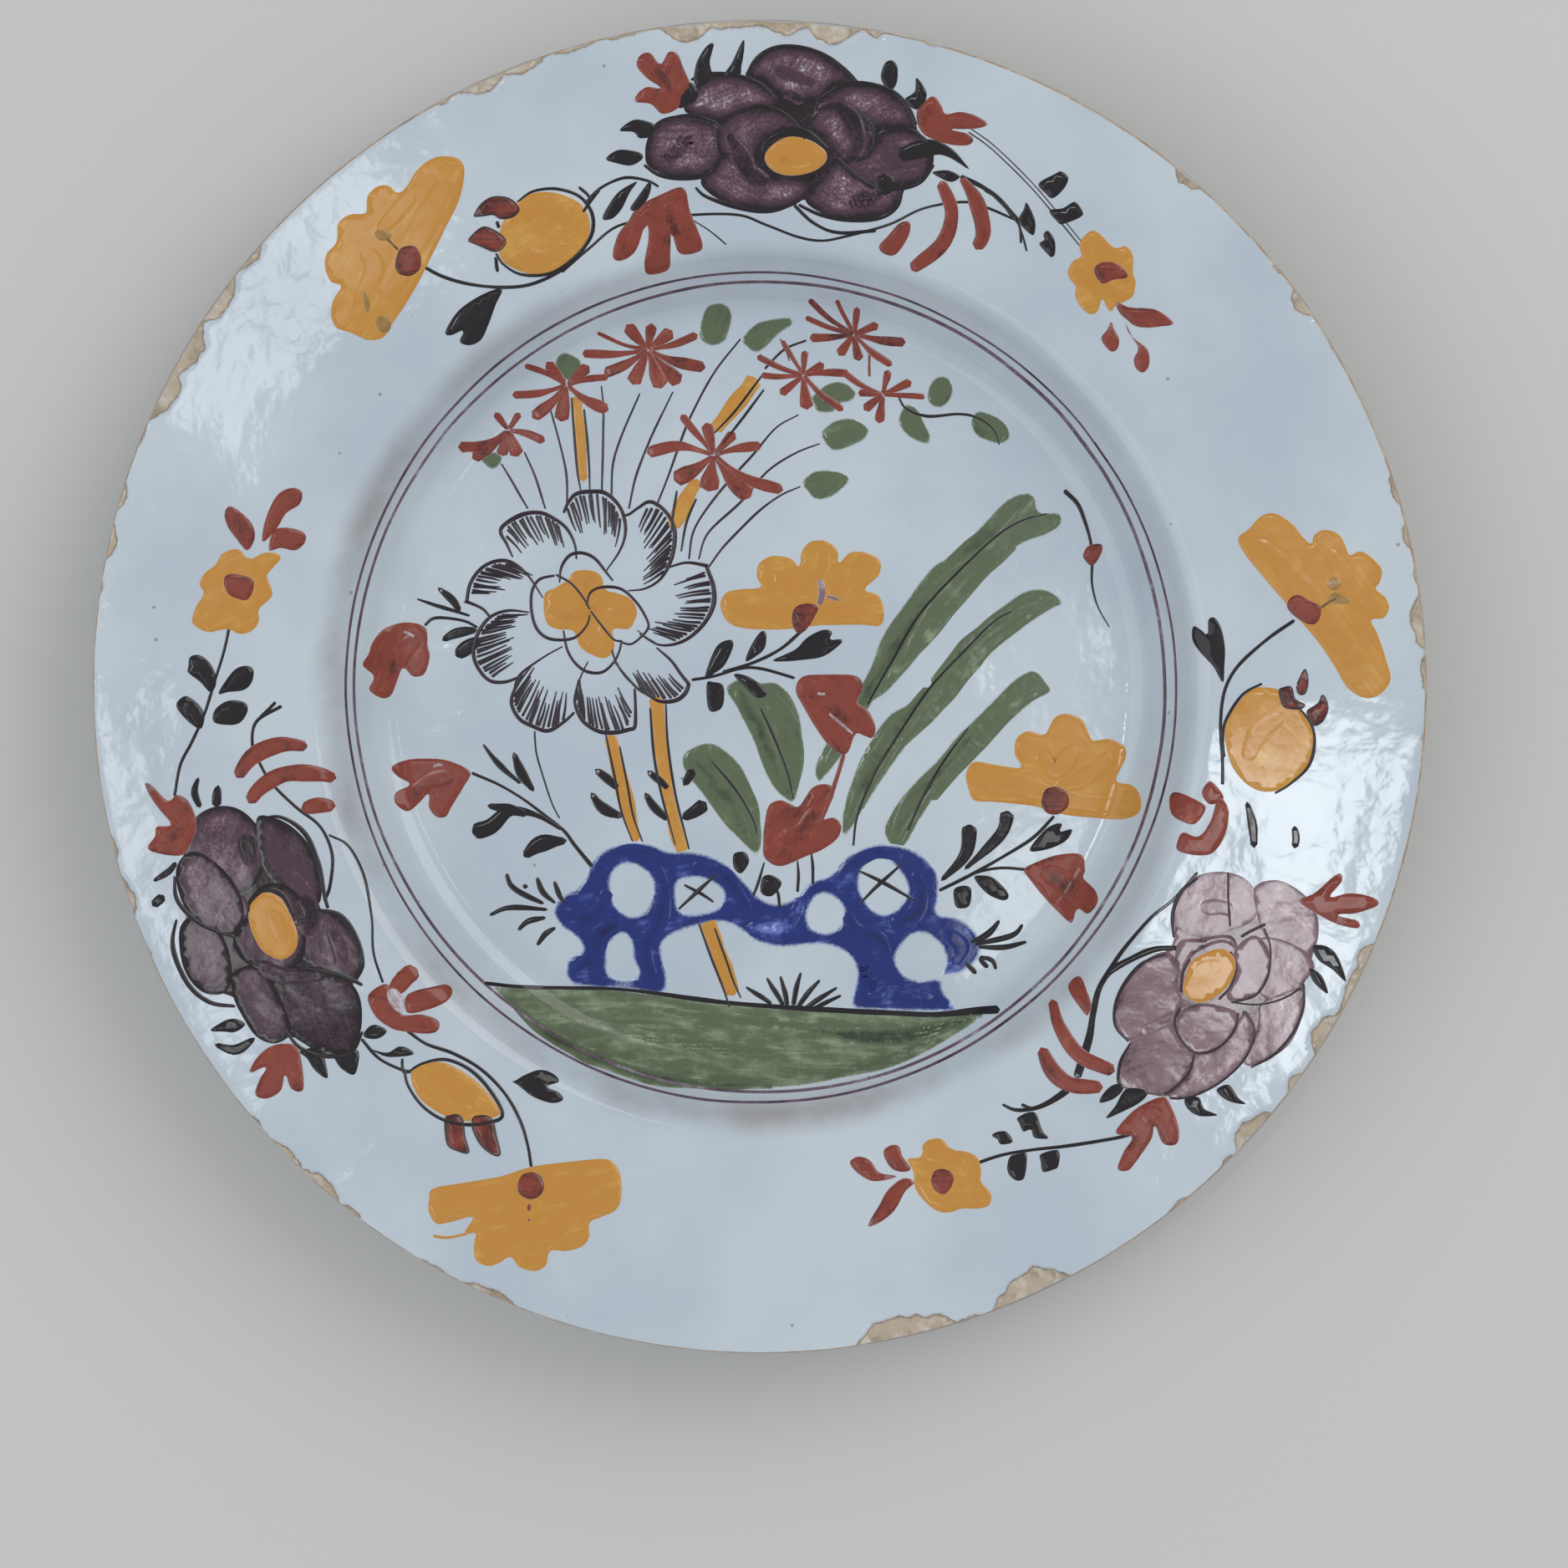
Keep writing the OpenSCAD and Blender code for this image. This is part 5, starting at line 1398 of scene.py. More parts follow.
# Left spray
laid("left_peony_wash", "purple", 0.03, [
    ([(-146, -37), (-143, -32), (-138, -29.5), (-133, -30), (-129, -33), (-126, -38),
      (-126, -45), (-129, -50), (-134, -52), (-140, -50), (-145, -45)], 0.61, 70),
    ([(-128, -33), (-124, -32.5), (-119, -35), (-114.5, -40), (-112, -47), (-112, -54),
      (-116, -56), (-120, -54), (-124, -49), (-127, -44)], 0.95, -55),
    ([(-117, -58), (-111, -56), (-106, -59), (-102.5, -64), (-101, -70), (-103, -74),
      (-109, -73), (-115, -70), (-118, -66)], 0.72, -40),
    ([(-104, -75), (-101.5, -80), (-101.5, -87), (-104, -92), (-110, -93), (-116, -90),
      (-121, -86), (-124, -80), (-124, -74), (-118, -70.5), (-110, -72)], 1.35, -70),
    ([(-134, -72), (-128, -70), (-124, -74), (-121, -80), (-119, -87), (-123, -90),
      (-128, -88), (-132, -82), (-134, -77)], 0.85, -70),
    ([(-147, -60), (-143, -57), (-138, -60), (-135, -66), (-134, -73), (-136, -77),
      (-141, -77), (-145, -73), (-147, -67)], 0.80, -80),
    ([(-148, -45), (-144, -41), (-138, -44), (-133, -50), (-131, -57), (-133, -62),
      (-138, -62), (-143, -59), (-147, -53)], 0.61, -60),
    ([(-131, -58), (-127, -50), (-120, -50), (-116, -56), (-116, -68), (-122, -72), (-130, -70),
      (-134, -64)], 0.81, -60)], [
    ([(-117, -52), (-114, -58), (-118, -62)], 5, 1.5), ([(-128, -70), (-120, -73), (-110, -72)], 4.5, 1.5),
    ([(-131, -36), (-130, -41), (-129, -45)], 5, 1.4), ([(-118, -44), (-117, -43), (-116, -42)], 5, 1.4),
    ([(-133, -52), (-131, -60), (-132, -68)], [3, 4.5, 4], 1.4),
    ([(-113, -76), (-109, -82), (-108, -88)], [4, 7, 5], 1.5),
    ([(-130, -76), (-126, -81), (-123, -86)], [3, 5, 3], 1.2),
    ([(-110, -60), (-107, -66), (-107, -71)], [3, 5, 3], 1.2)],
    ["left_peony"], shake=0.14, ground=(
        [(-145.5, -37), (-142.5, -32.5), (-137, -30.5), (-132, -32), (-128, -34), (-122, -34),
         (-116, -39), (-113, -47), (-112.5, -56), (-107, -59.5), (-103, -66), (-103.5, -74), (-102.3, -82),
         (-104, -90.5), (-110, -92), (-116, -89), (-122, -88.5), (-128, -87), (-133, -79), (-140, -76),
         (-145, -71), (-146, -63), (-146, -55), (-147, -46)], 1.85, 40))
laid("left_peony_lines", "line", 0.09, [], [
    ([(-113, -56), (-107, -57.5), (-103, -63), (-101.2, -70), (-103, -74.5)],
     [0.81, 1.49, 1.35, 0.81], 1.65),
    ([(-118, -71), (-110, -72), (-104, -74), (-101, -75.5)], [1.08, 1.62, 0.94], 1.65),
    ([(-128, -33), (-122, -32.5), (-116, -36.5), (-112.5, -44), (-111, -52), (-110, -56)],
     [0.68, 1.35, 1.35, 0.94], 1.65),
    ([(-148, -58), (-149, -64), (-147.5, -70), (-144, -76), (-139, -79.5), (-133, -80.5)],
     [0.68, 1.35, 1.49, 1.35, 0.81], 1.65),
    ([(-148.5, -47), (-148, -53), (-144, -58), (-139, -61), (-133, -63)], [0.68, 1.35, 1.22, 0.68], 1.5),
    ([(-130, -57), (-129.6, -54), (-126, -50.8), (-121.6, -52.2), (-118.4, -58)],
     [0.81, 1.62, 1.62, 0.81], 1.65),
    ([(-121, -86), (-117, -91), (-111, -93.4), (-104, -92.4), (-101, -87)], [0.68, 1.22, 1.22, 0.68], 1.5)],
    ["left_peony"])
laid("left_peony_heart", "yellow", 0.10, [
    ([(-129, -53), (-126, -51.5), (-122, -53), (-119, -58), (-117.5, -63), (-118.5, -67),
      (-122, -68.8), (-126, -67), (-129, -62), (-130, -57)], 0.85, -60)],
      [([(-125, -56), (-122.5, -60), (-121.5, -65)], [3, 5, 3], 1.1)],
    ["peony_hearts"])
laid("left_dark_leaves", "black", 0.10, [
    ([(-139.5, -86.5), (-136, -84), (-133, -83.5), (-130.5, -85), (-133, -87), (-136, -87)], 1, 0),
    ([(-117, -92), (-111, -91), (-110.5, -94), (-109.8, -99), (-113, -97), (-115, -94)], 1, -60),
    ([(-109, -92), (-104.5, -91.5), (-102, -92.5), (-103, -98), (-106, -97), (-108, -94.5)], 1, -60),
    ([(-145, 6), (-144.5, 8.5), (-142, 9), (-139.5, 7), (-138, 4), (-138, 1), (-139.5, -0.5), (-142, 2),
      (-145, 4.5)], 1, -45),
    ([(-137.5, -1), (-136, 2), (-133, 5.5), (-130, 6.3), (-128.5, 5), (-129, 2), (-131, 0),
      (-135, -0.5)], 1, 40),
    ([(-148, -4), (-147, -2), (-145, -1.5), (-142, -4), (-140.8, -6.5), (-141.5, -9.5), (-143, -9.5),
      (-146, -7)], 1, -45),
    ([(-139, -7), (-138, -4.5), (-135, -2.7), (-131, -3), (-130, -5), (-131.5, -8), (-134, -9),
      (-138, -8.5)], 1, 10),
    ([(-101, -88), (-99.5, -86), (-97.5, -85.5), (-95, -87), (-97, -89), (-100, -89)], 1, 0),
    ([(-99.5, -91.5), (-95, -92.5), (-92, -91), (-89.5, -91.5), (-88, -93), (-90, -93.7),
      (-95, -93.7)], 1, 0),
    ([(-66, -99), (-63, -100), (-60, -98.5), (-56, -97.3), (-52.5, -98.5), (-51, -100.5),
      (-54, -101.5), (-51, -103), (-50, -105), (-53, -105.8), (-58, -104), (-62, -101)], 1, -20)], [
    ([(-142.5, -22), (-143.5, -26), (-142, -30)], [0.8, 2.2, 1.4], 1.0),
    ([(-137.5, -24), (-138, -27), (-138, -30)], [1, 3, 2], 1.0),
    ([(-154, -48.5), (-150, -46), (-148, -43.5)], [0.8, 2.2, 1.2], 1.0),
    ([(-154, -55), (-152, -53), (-151, -52)], 2.5, 1.0),
    ([(-138.5, -90), (-133, -91.5), (-128, -88.5)], [1, 3.2, 1], 1.0)])
laid("left_stems", "black", 0.06, [], [
    ([(-133.5, 24), (-134.5, 17), (-136, 10), (-138.5, 2), (-141, -6), (-144, -13), (-147, -19),
      (-148.5, -27)], 0.9, 0.85),
    ([(-123, -3), (-126, -6), (-128, -8)], 1.0, 0.9),
    ([(-121.5, -4), (-128, -8), (-129, -14), (-127, -19), (-124, -24), (-118, -30),
      (-112, -35), (-109, -42), (-109.5, -50), (-111, -54)], 1.0, 0.9),
    ([(-110, -37), (-105, -40), (-101, -48), (-99, -58), (-98.5, -67), (-96, -75)], 0.8, 0.8),
    ([(-101.5, -89), (-97, -94), (-91, -97), (-88.5, -97.5)], 1.0, 0.9),
    ([(-90, -87), (-85, -90.5), (-78, -93), (-71, -97), (-65, -103), (-61, -110), (-59, -116),
      (-58, -122)], 1.0, 0.9)])
laid("left_red_leaves", "red", 0.12, [
    ([(-156, -23.5), (-154, -24), (-150, -28), (-148, -26.5), (-145, -28), (-143, -33),
      (-144, -38), (-147, -42), (-155, -40.5), (-153.5, -37), (-153, -34.5), (-149.5, -34), (-152.5, -30),
      (-154.5, -27)], 1.0, 40),
    ([(-90, -78), (-84, -76), (-80, -75.5), (-78.5, -77.5), (-80, -80), (-85, -82), (-90, -82.5)], 1.0, 10),
    ([(-91, -83), (-86, -83), (-82, -84.5), (-81.8, -87), (-84, -88), (-90, -87.5),
      (-94, -86.5), (-98, -83.5), (-100, -79), (-98.5, -76.5), (-95, -75), (-93, -78),
      (-91.5, -81)], 1.0, -15),
    ([(-125, -91), (-121, -90), (-117.5, -91), (-116, -97), (-116, -102), (-119, -101.5), (-120.5, -98),
      (-121.5, -102), (-125, -104), (-128, -103), (-127, -99), (-125.5, -96), (-129.5, -97.5),
      (-128, -94)], 1.0, 70),
    ([(-130, 35.5), (-128, 38.5), (-128.5, 42), (-131, 45), (-134, 46.8), (-135.5, 45), (-135, 42),
      (-133, 39)], 1.0, 100),
    ([(-126, 37.5), (-126, 41), (-124.5, 46), (-122, 50), (-118.5, 51.5), (-116, 50.5),
      (-116.5, 47.5), (-120, 45), (-122.5, 41)], 1.0, 60),
    ([(-124.5, 35.5), (-124, 39), (-122.5, 41.2), (-119, 41.3), (-115.5, 40), (-115.5, 37.5), (-118, 35.5),
      (-121.5, 36)], 1.0, 10)], [
    ([(-115, -14.5), (-122, -14), (-129, -17), (-133, -22.5)], [2.5, 4.4, 4.6, 3], 1.0),
    ([(-108, -23), (-113, -21.5), (-121, -21.5), (-127, -25), (-130, -29)], [2.5, 4.4, 4.6, 4, 3], 1.0),
    ([(-108, -30), (-112, -29.5), (-117, -30.5)], [2.5, 4.5, 3], 1.0),
    ([(-87.3, -71.2), (-90.5, -73.8), (-94, -78)], [4.6, 5.2, 3.4], 0.95),
    ([(-153, -38), (-148, -36), (-145, -31)], [3, 4, 2.5], 1.25)],
    ["left_red_leaves"])
# A pale spot on a red leaf: partly worn enamel, partly painted highlight
laid("left_leaf_wear_and_highlight", "pale_purple", 0.17, [
    ([(-95, -77), (-92.8, -76.3), (-90.6, -79), (-90.8, -82.2), (-92.5, -82.3), (-94.6, -79.8)],
     0.1, -60)], [],
    ["left_red_leaves"])
laid("left_bud_wash", "yellow", 0.09, [
    ([(-89, -98.5), (-87, -96), (-82, -95), (-77, -96.5), (-71, -101), (-67, -106),
      (-66, -108.5), (-70, -110), (-76, -110), (-82, -108), (-87, -104)], 0.72, -30)], [
    ([(-85, -99), (-79, -101), (-72, -106)], [4, 6, 4], 0.9)], ["fruit_buds"])
tipped("left_bud_tips", [
    ([(-80, -109), (-77, -108.5), (-75.5, -110), (-75, -114), (-74, -118), (-77, -117.5), (-79.3, -116),
      (-80, -112)], -80),
    ([(-73, -109), (-70, -108.8), (-68, -110), (-67, -114), (-66, -118.5), (-68, -118.5), (-71, -116),
      (-73, -112)], -80)])
laid("left_bud_lines", "black", 0.14, [], [
    ([(-90, -98), (-86, -95.5), (-80, -94.5), (-74, -97), (-69, -102), (-65.5, -108.5),
      (-69, -110.5), (-75, -111), (-81, -109.5), (-86, -106), (-89.5, -101), (-90.5, -97)],
      [0.7, 1.1, 1.1, 1.0, 0.8], 1.0),
    ([(-91, -94), (-91, -96), (-90.5, -98)], 0.9, 1.0)], ["fruit_buds"])
laid("left_fan_wash", "yellow", 0.09, [
    ([(-83, -127), (-75, -125.5), (-66, -124), (-57, -121.5), (-48, -120.3), (-40, -119.7),
      (-37, -120.5), (-35, -124), (-35, -130), (-36.5, -133), (-40, -134.5), (-43, -136), (-43, -139.5),
      (-45, -142), (-49, -143), (-53, -143), (-54, -146.5), (-57, -148), (-61, -147), (-63, -144.5),
      (-66, -146), (-69, -146.7), (-72, -145), (-72.5, -141), (-72, -138.5), (-75, -138.5), (-73, -134.5),
      (-78, -135.5), (-82, -136), (-84, -133), (-84, -130)], 0.75, 8)], [
    ([(-80, -130), (-68, -129), (-54, -127), (-40, -126)], [4, 6, 7, 5], 0.95),
    ([(-66, -141), (-58, -139), (-48, -137)], [4, 6, 4], 0.85),
    ([(-74, -138.5), (-79, -139.4), (-83, -139)], 0.9, 0.8)],
    ["left_fan_blossom"])
laid("left_fan_dots", "red", 0.14, [
    ([(-61.6, -126.5), (-60.5, -123.9), (-58, -122.9), (-55.4, -124), (-54.5, -126.8),
      (-55.8, -129.2), (-58.4, -130), (-60.8, -128.9)], 1.3, 0)], [
    ([(-59.2, -131.8), (-58.5, -132), (-57.8, -132.3)], 2.0, 0.9),
    ([(-58.8, -135), (-58.5, -135.1), (-58.1, -135.3)], 1.1, 0.7)],
    ["left_fan_blossom"])
laid("left_small_flower", "yellow", 0.09, [
    ([(-144, 17.5), (-143, 21), (-141, 24.5), (-142, 27), (-140.5, 30), (-138, 32), (-136, 35), (-132, 36),
      (-129.5, 33.5), (-126, 35), (-122.5, 35), (-121.5, 33.5), (-123.5, 31), (-125, 29),
      (-124, 26), (-124, 23.5), (-127, 20.5), (-127, 17.5), (-129, 15), (-132, 14.3), (-135, 15.5),
      (-139.5, 14.7), (-142, 15.5)], 0.74, 30)], [
    ([(-140, 19), (-136, 22), (-129, 18)], [4, 5, 4], 0.9),
    ([(-137, 31), (-131, 32), (-127, 31)], [3, 4, 3], 0.85)],
    ["small_blossoms"])
laid("left_small_flower_centre", "red", 0.14, [
    ([(-136, 28), (-134.5, 29.7), (-131, 29.3), (-128.5, 28.2), (-128.3, 25.5), (-130, 23), (-132, 23),
      (-135, 24.5)], 1.2, 0)], [], ["small_blossoms"])

# Right spray
laid("right_peony_wash", "pale_purple", 0.03, [
    ([(106, -60), (105.5, -55), (108, -50), (112, -47), (118, -46), (124, -48), (127, -53),
      (126, -58), (120, -61), (113, -63)], 0.75, 60),
    ([(126, -50), (132, -48), (139, -52), (142, -58), (141, -65), (136, -68), (130, -64),
      (127, -58)], 0.65, -50),
    ([(127, -63), (133, -63), (139, -66), (141, -70), (138.5, -74), (138, -78), (131, -79), (127, -76),
      (124, -70)], 0.75, -30),
    ([(128, -79), (138, -75), (138, -82), (135, -89), (130, -93), (125, -95), (123, -93), (126, -88),
      (127, -83)], 0.65, -80),
    ([(124, -81), (126, -87), (124, -93), (119, -98), (113, -102), (106, -104), (104.5, -102), (109, -98),
      (111, -92), (117, -90), (121, -85)], 0.75, 40),
    ([(95, -90), (99, -87), (105, -84), (107, -88), (111, -92), (109, -98), (104, -102),
      (98, -102.5), (93, -101), (91.5, -97), (92.5, -93)], 1.15, 20),
    ([(104, -66.5), (98, -69), (93.5, -74), (91, -80), (91, -85), (94, -89), (99, -87),
      (104, -84), (108, -80), (107, -75), (107, -70)], 0.90, 60),
    ([(107, -82), (112, -79.5), (118, -80), (122, -82), (121, -87), (117, -91), (111, -92), (107, -88),
      (106, -85)], 0.90, 0),
    ([(121, -66), (126, -62), (130, -66), (130, -72), (127, -77), (121, -79), (119, -77),
      (121.5, -72)], 0.85, -60),
    ([(107, -64), (112, -63), (120, -62), (122, -66), (118, -64), (111, -67), (108, -72),
      (106, -70)], 0.9, 10)], [
    ([(97, -87), (102, -85), (107, -82)], [3, 4.5, 3.5], 1.3),
    ([(124, -66), (127, -70), (125, -75)], [3, 5, 3], 1.3),
    ([(110, -84), (115, -84.5), (119, -84)], [3.5, 5, 3], 1.25),
    ([(97, -74), (100, -78), (104, -80)], [3, 5, 3], 1.1),
    ([(112, -55), (117, -55), (121, -56)], [3, 5, 3], 1.0),
    ([(104, -68), (106.6, -73), (107, -78)], [2.5, 3.5, 2.5], 1.4)],
    ["right_peony"], shake=0.14, ground=(
        [(106, -59), (107, -52), (112, -47.8), (119, -47), (126.5, -50), (133, -49),
         (139, -53), (141.5, -60), (140.5, -68), (138, -76), (136.5, -83), (130.5, -92), (123.5, -94),
         (116, -99.5), (106, -103), (97, -102), (92.5, -97), (94.5, -89.5), (91.5, -84), (93.5, -75),
         (99, -69), (105, -65)], 1.25, 40))
laid("right_peony_lines", "line", 0.09, [], [
    ([(110, -68), (108, -72), (107.5, -77)], 0.9, 1.2),
    ([(120, -66), (121.5, -70), (120, -75), (117, -78.5)], 0.8, 1.08),
    ([(104, -67), (98, -69.5), (93.5, -74.5), (91, -80), (91, -85.5), (94.5, -89.5)],
     [0.6, 1.1, 1.1, 1, 0.6], 1.32),
    ([(95, -89.5), (92.5, -94), (91.7, -99), (93, -101.5)], [0.6, 1, 0.8], 1.2),
    ([(111, -92), (109.5, -97), (105, -101.5), (103, -102.5)], [0.5, 0.9, 0.8], 1.2),
    ([(104.5, -103.5), (110, -103), (117, -99.5), (123, -94), (126, -88), (125.5, -84),
      (123, -81)], 0.7, 1.08),
    ([(107.5, -80.5), (106, -84), (107.5, -88.5), (111.5, -92), (117, -90.5), (121, -86),
      (122, -81.5)], 0.8, 1.14),
    ([(138.5, -74), (138.3, -80), (136, -86), (131, -92), (125, -95.5)], [0.6, 0.9, 0.9, 0.5], 1.2),
    ([(120, -79), (127, -79.5), (133, -78), (138, -75)], 0.6, 0.96),
    ([(128.5, -60), (130, -65), (129.5, -72), (126.5, -77), (121, -79)], 0.7, 1.02),
    ([(105.7, -63), (105.5, -57), (107.5, -51.5), (112, -47.5)], [0.6, 1.1, 1.1, 0.6], 1.32),
    ([(119.5, -46), (119.5, -53), (120, -60)], 0.7, 0.96),
    ([(122.5, -62.5), (126, -60.5), (129, -59)], 0.9, 1.14)],
    ["right_peony"])
laid("right_peony_heart", "yellow", 0.10, [
    ([(108.5, -73), (110, -69), (114, -66.3), (118, -65.5), (121, -67.5), (121.5, -71),
      (119.5, -75), (116, -78), (112, -79.5), (109, -78), (108, -76)], 0.85, 30)], [
    ([(111, -71), (115, -70), (118.5, -70)], [3, 4, 3], 1.05)], ["peony_hearts"])
laid("right_dark_leaves", "black", 0.10, [
    ([(140.5, -64.5), (144, -64.5), (147, -67), (149, -73.5), (145.5, -70.5), (142, -68)], 1, -40),
    ([(140, -70), (143, -72), (144.5, -76.5), (141.5, -74.5), (140, -72)], 1, -50),
    ([(118, -100), (120, -100), (122, -103), (124, -104.8), (119.5, -104), (116.5, -101.5)], 1, -30),
    ([(108.5, -103.5), (112, -103), (113.5, -106), (117, -107.5), (112, -107.8), (109, -106)], 1, -30),
    ([(98.5, -101.5), (99, -103), (96, -105.5), (92, -107.5), (88.5, -108.8), (91, -105.5), (93, -102),
      (95, -101)], 1, 40),
    ([(92.5, -100), (93, -101.5), (90.5, -104), (87, -105), (87.5, -103), (90, -100.5)], 1, 40),
    ([(118, 2), (115.5, 6), (112, 10), (110.3, 13), (110.5, 16.5), (112.5, 15.5), (114, 14.5), (114.3, 18),
      (116, 18.5), (117.5, 16), (118.5, 11), (118.5, 6)], 1, 100),
    ([(59.5, -113.5), (61, -112.5), (63.5, -112.5), (65, -115), (62, -115.8), (61, -114.5)], 1, 0),
    ([(66, -109), (69, -107.5), (71, -108), (72.5, -112), (74, -114), (70.5, -114), (69.5, -112),
      (67.5, -112.5), (66.5, -110.5)], 1, -50),
    ([(64, -119), (66, -118), (68.5, -118), (68, -124), (65.5, -124.7), (63.5, -122.5)], 1, 80),
    ([(72, -118), (76.5, -117), (76.5, -121), (75, -122), (72.5, -122.5), (72, -120)], 1, 80)], [
    ([(124, -28), (125.5, -34), (126, -40)], [1, 3, 1.6], 0.7),
    ([(136, -34), (136.4, -37), (136, -40)], [1, 2.6, 1.4], 0.7)])
laid("right_stems", "black", 0.06, [], [
    ([(112, -46), (106, -53), (100, -58), (94, -65), (90.5, -70), (87, -76), (85.5, -82),
      (84.5, -88), (83, -93), (81, -99)], [0.8, 1.0, 1.3, 1.8, 2.4], 1.0),
    ([(107, -65.5), (101, -66), (95, -68.5), (89.5, -72), (86.5, -77)], [1.4, 1.8, 1.8, 1.2], 1.0),
    ([(81, -99), (78, -102.5), (72, -106), (66, -107), (62, -105.5)], [2.0, 1.8, 1.2, 0.8], 1.0),
    ([(70, -106.5), (68.5, -106.2), (67, -105.5)], 1.0, 1.0),
    ([(136, 18), (129, 13), (122, 6.5), (118.5, 0), (117.5, -8), (118, -17), (118, -24)], 1.0, 0.9),
    ([(50.5, -123.5), (55, -121), (62, -118.5), (70, -117), (78, -116), (87, -114.5), (94, -113),
      (100, -110)], 1.0, 0.9)])
laid("right_red_leaves", "red", 0.12, [
    ([(105, -31), (105, -27), (107, -26), (112, -28), (114, -30), (111, -34), (107, -33)], 0.8, 30),
    ([(113, -25), (115, -23), (118, -26), (118, -28), (115, -29), (113, -27)], 0.8, 30),
    ([(117, -27), (119.5, -30), (119, -36), (116, -41), (112, -42), (107, -41), (106.5, -39), (108, -36),
      (112, -37), (115, -33)], 0.9, -60),
    ([(137, -53), (141, -51), (147, -46), (148, -48), (145, -52), (150, -51), (156, -52),
      (157, -54), (152, -56), (147, -56.5), (152, -58), (152, -60), (147, -59), (141, -56)], 0.9, 0),
    ([(79, -76), (82, -73), (84, -77), (85, -80), (84, -83), (82, -81)], 1.0, -60),
    ([(98, -105), (103, -103), (105, -105), (107, -111), (106.5, -115), (103, -115),
      (101, -110.5), (100, -114), (96, -120), (94, -122), (91.5, -121.5), (93, -117), (95, -113.5),
      (91, -112.5), (94, -108)], 1.0, 70),
    ([(39, -122), (37, -119), (36, -116.5), (34, -116), (32, -117.5), (32.5, -120), (34.5, -122.5),
      (37.5, -123)], 1.0, 60),
    ([(35.5, -124), (31, -123), (28.5, -120), (25.5, -119), (23.3, -120.5), (25, -123), (28.5, -125.2),
      (32, -125.2)], 1.0, 0),
    ([(40, -125.5), (37, -124.5), (33, -127.5), (31, -131), (28, -136.5), (31.5, -135.5), (35, -132.5),
      (37.5, -128)], 1.0, 50)], [
    ([(75, -79), (77, -86), (82, -93), (91, -97)], [2.6, 4, 4.2, 3], 1.0),
    ([(72, -91), (75, -97), (80, -100.5), (88, -101)], [2.6, 4.4, 4.4, 3], 1.0),
    ([(98, -110), (100, -107), (103, -108)], [3, 4, 3], 1.2)], ["right_red_leaves"])
laid("right_bud_wash", "yellow", 0.09, [
    ([(119, -15), (118.5, -9), (121, -4), (125, 0.5), (129, 1), (133, 0), (136, -3),
      (139.5, -7), (141, -12), (140, -18), (136, -23), (131, -25.5), (126, -25),
      (121, -20.5)], 0.70, 60)], [
    ([(124, -18), (127, -11), (133, -6)], [4, 6, 4], 0.9)], ["fruit_buds"])
tipped("right_bud_tips", [
    ([(132, 0.5), (135, 1), (136, -2), (138.5, -3.5), (137, -4.5), (133.5, -4), (132.5, -2)], 0),
    ([(136.5, 1.5), (138.5, 5.5), (139.3, 2.5), (138.5, -0.5), (137, -0.5)], 70),
    ([(139, -5), (142, -3), (143, -1), (144.3, -4), (143, -7.5), (140.5, -8.5)], 30)])
laid("right_bud_lines", "black", 0.14, [], [
    ([(128, 2), (123, -1), (119, -7), (118, -12), (118.5, -17)], [0.7, 1.0, 0.8], 0.9),
    ([(136, -3), (140, -8), (141, -13), (139.5, -19), (135, -23.5), (131, -26)], [0.6, 1.0, 0.7], 0.9)],
    ["fruit_buds"])
laid("right_fan_wash", "yellow", 0.09, [
    ([(121.5, 38), (124, 41), (127.5, 44.5), (131, 45), (135, 42.5), (138, 39), (140, 37.5),
      (140.5, 39.5), (143, 41), (146.5, 40), (148.5, 37), (149.5, 34.5), (152, 35.5), (155, 34),
      (157.5, 31), (157, 27.5), (156, 26), (158.5, 24), (159.5, 21), (158, 18.5), (155, 18), (156.5, 15),
      (158.5, 9), (160, 4), (159, 1), (156, -1.5), (152.5, -1.5), (149, 1), (146, 6), (142, 12), (137, 18),
      (132, 24), (126, 31)], 0.72, -55)], [
    ([(126, 38), (134, 30), (142, 20), (152, 6)], [4, 7, 7, 5], 0.9),
    ([(144, 36), (148, 29), (151, 22)], [4, 6, 4], 0.85)],
    ["right_fan_blossom"])
laid("right_fan_dots", "red", 0.14, [
    ([(134, 21), (134.5, 23.5), (137, 24.5), (140, 23), (142.5, 21.5), (142, 18), (140, 16.8),
      (137, 18)], 1.2, 0)],
    [], ["right_fan_blossom"])
laid("right_fan_smudges", "smudge", 0.12, [
    ([(144.2, 23.8), (146, 25.2), (148.4, 24.2), (149.8, 22.6), (147.6, 21.8), (145.2, 22.4)], 0.55, 0),
    ([(143.8, 27.6), (145.2, 29), (147.2, 28.2), (147.4, 26.6), (146, 25.5), (144.4, 26)], 0.45, 0)], [
    ([(142.2, 21), (144.2, 22.4), (146.4, 23.6)], 0.9, 1.5)], ["right_fan_blossom"])
laid("right_small_flower", "yellow", 0.09, [
    ([(38, -119.5), (41.5, -119), (42, -116), (44, -114.5), (47, -114.5), (49.5, -117),
      (53, -117.5), (56, -119), (57, -122), (57, -125), (59.5, -128), (59, -131), (56, -132), (52, -132),
      (49, -133), (46, -132.8), (43, -131), (40, -127), (39.5, -123), (38.5, -121)], 0.74, -20)], [
    ([(42, -119), (46, -118), (52, -121)], [3, 5, 4], 0.9),
    ([(45, -130), (51, -128), (56, -129)], [3, 4, 3], 0.85)],
    ["small_blossoms"])
laid("right_small_flower_centre", "red", 0.14, [
    ([(44, -125), (45, -122.5), (47.5, -122), (50, -123.5), (49.5, -126.5), (47.5, -128.5),
      (45, -127.5)], 1.2, 0)], [],
    ["small_blossoms"])

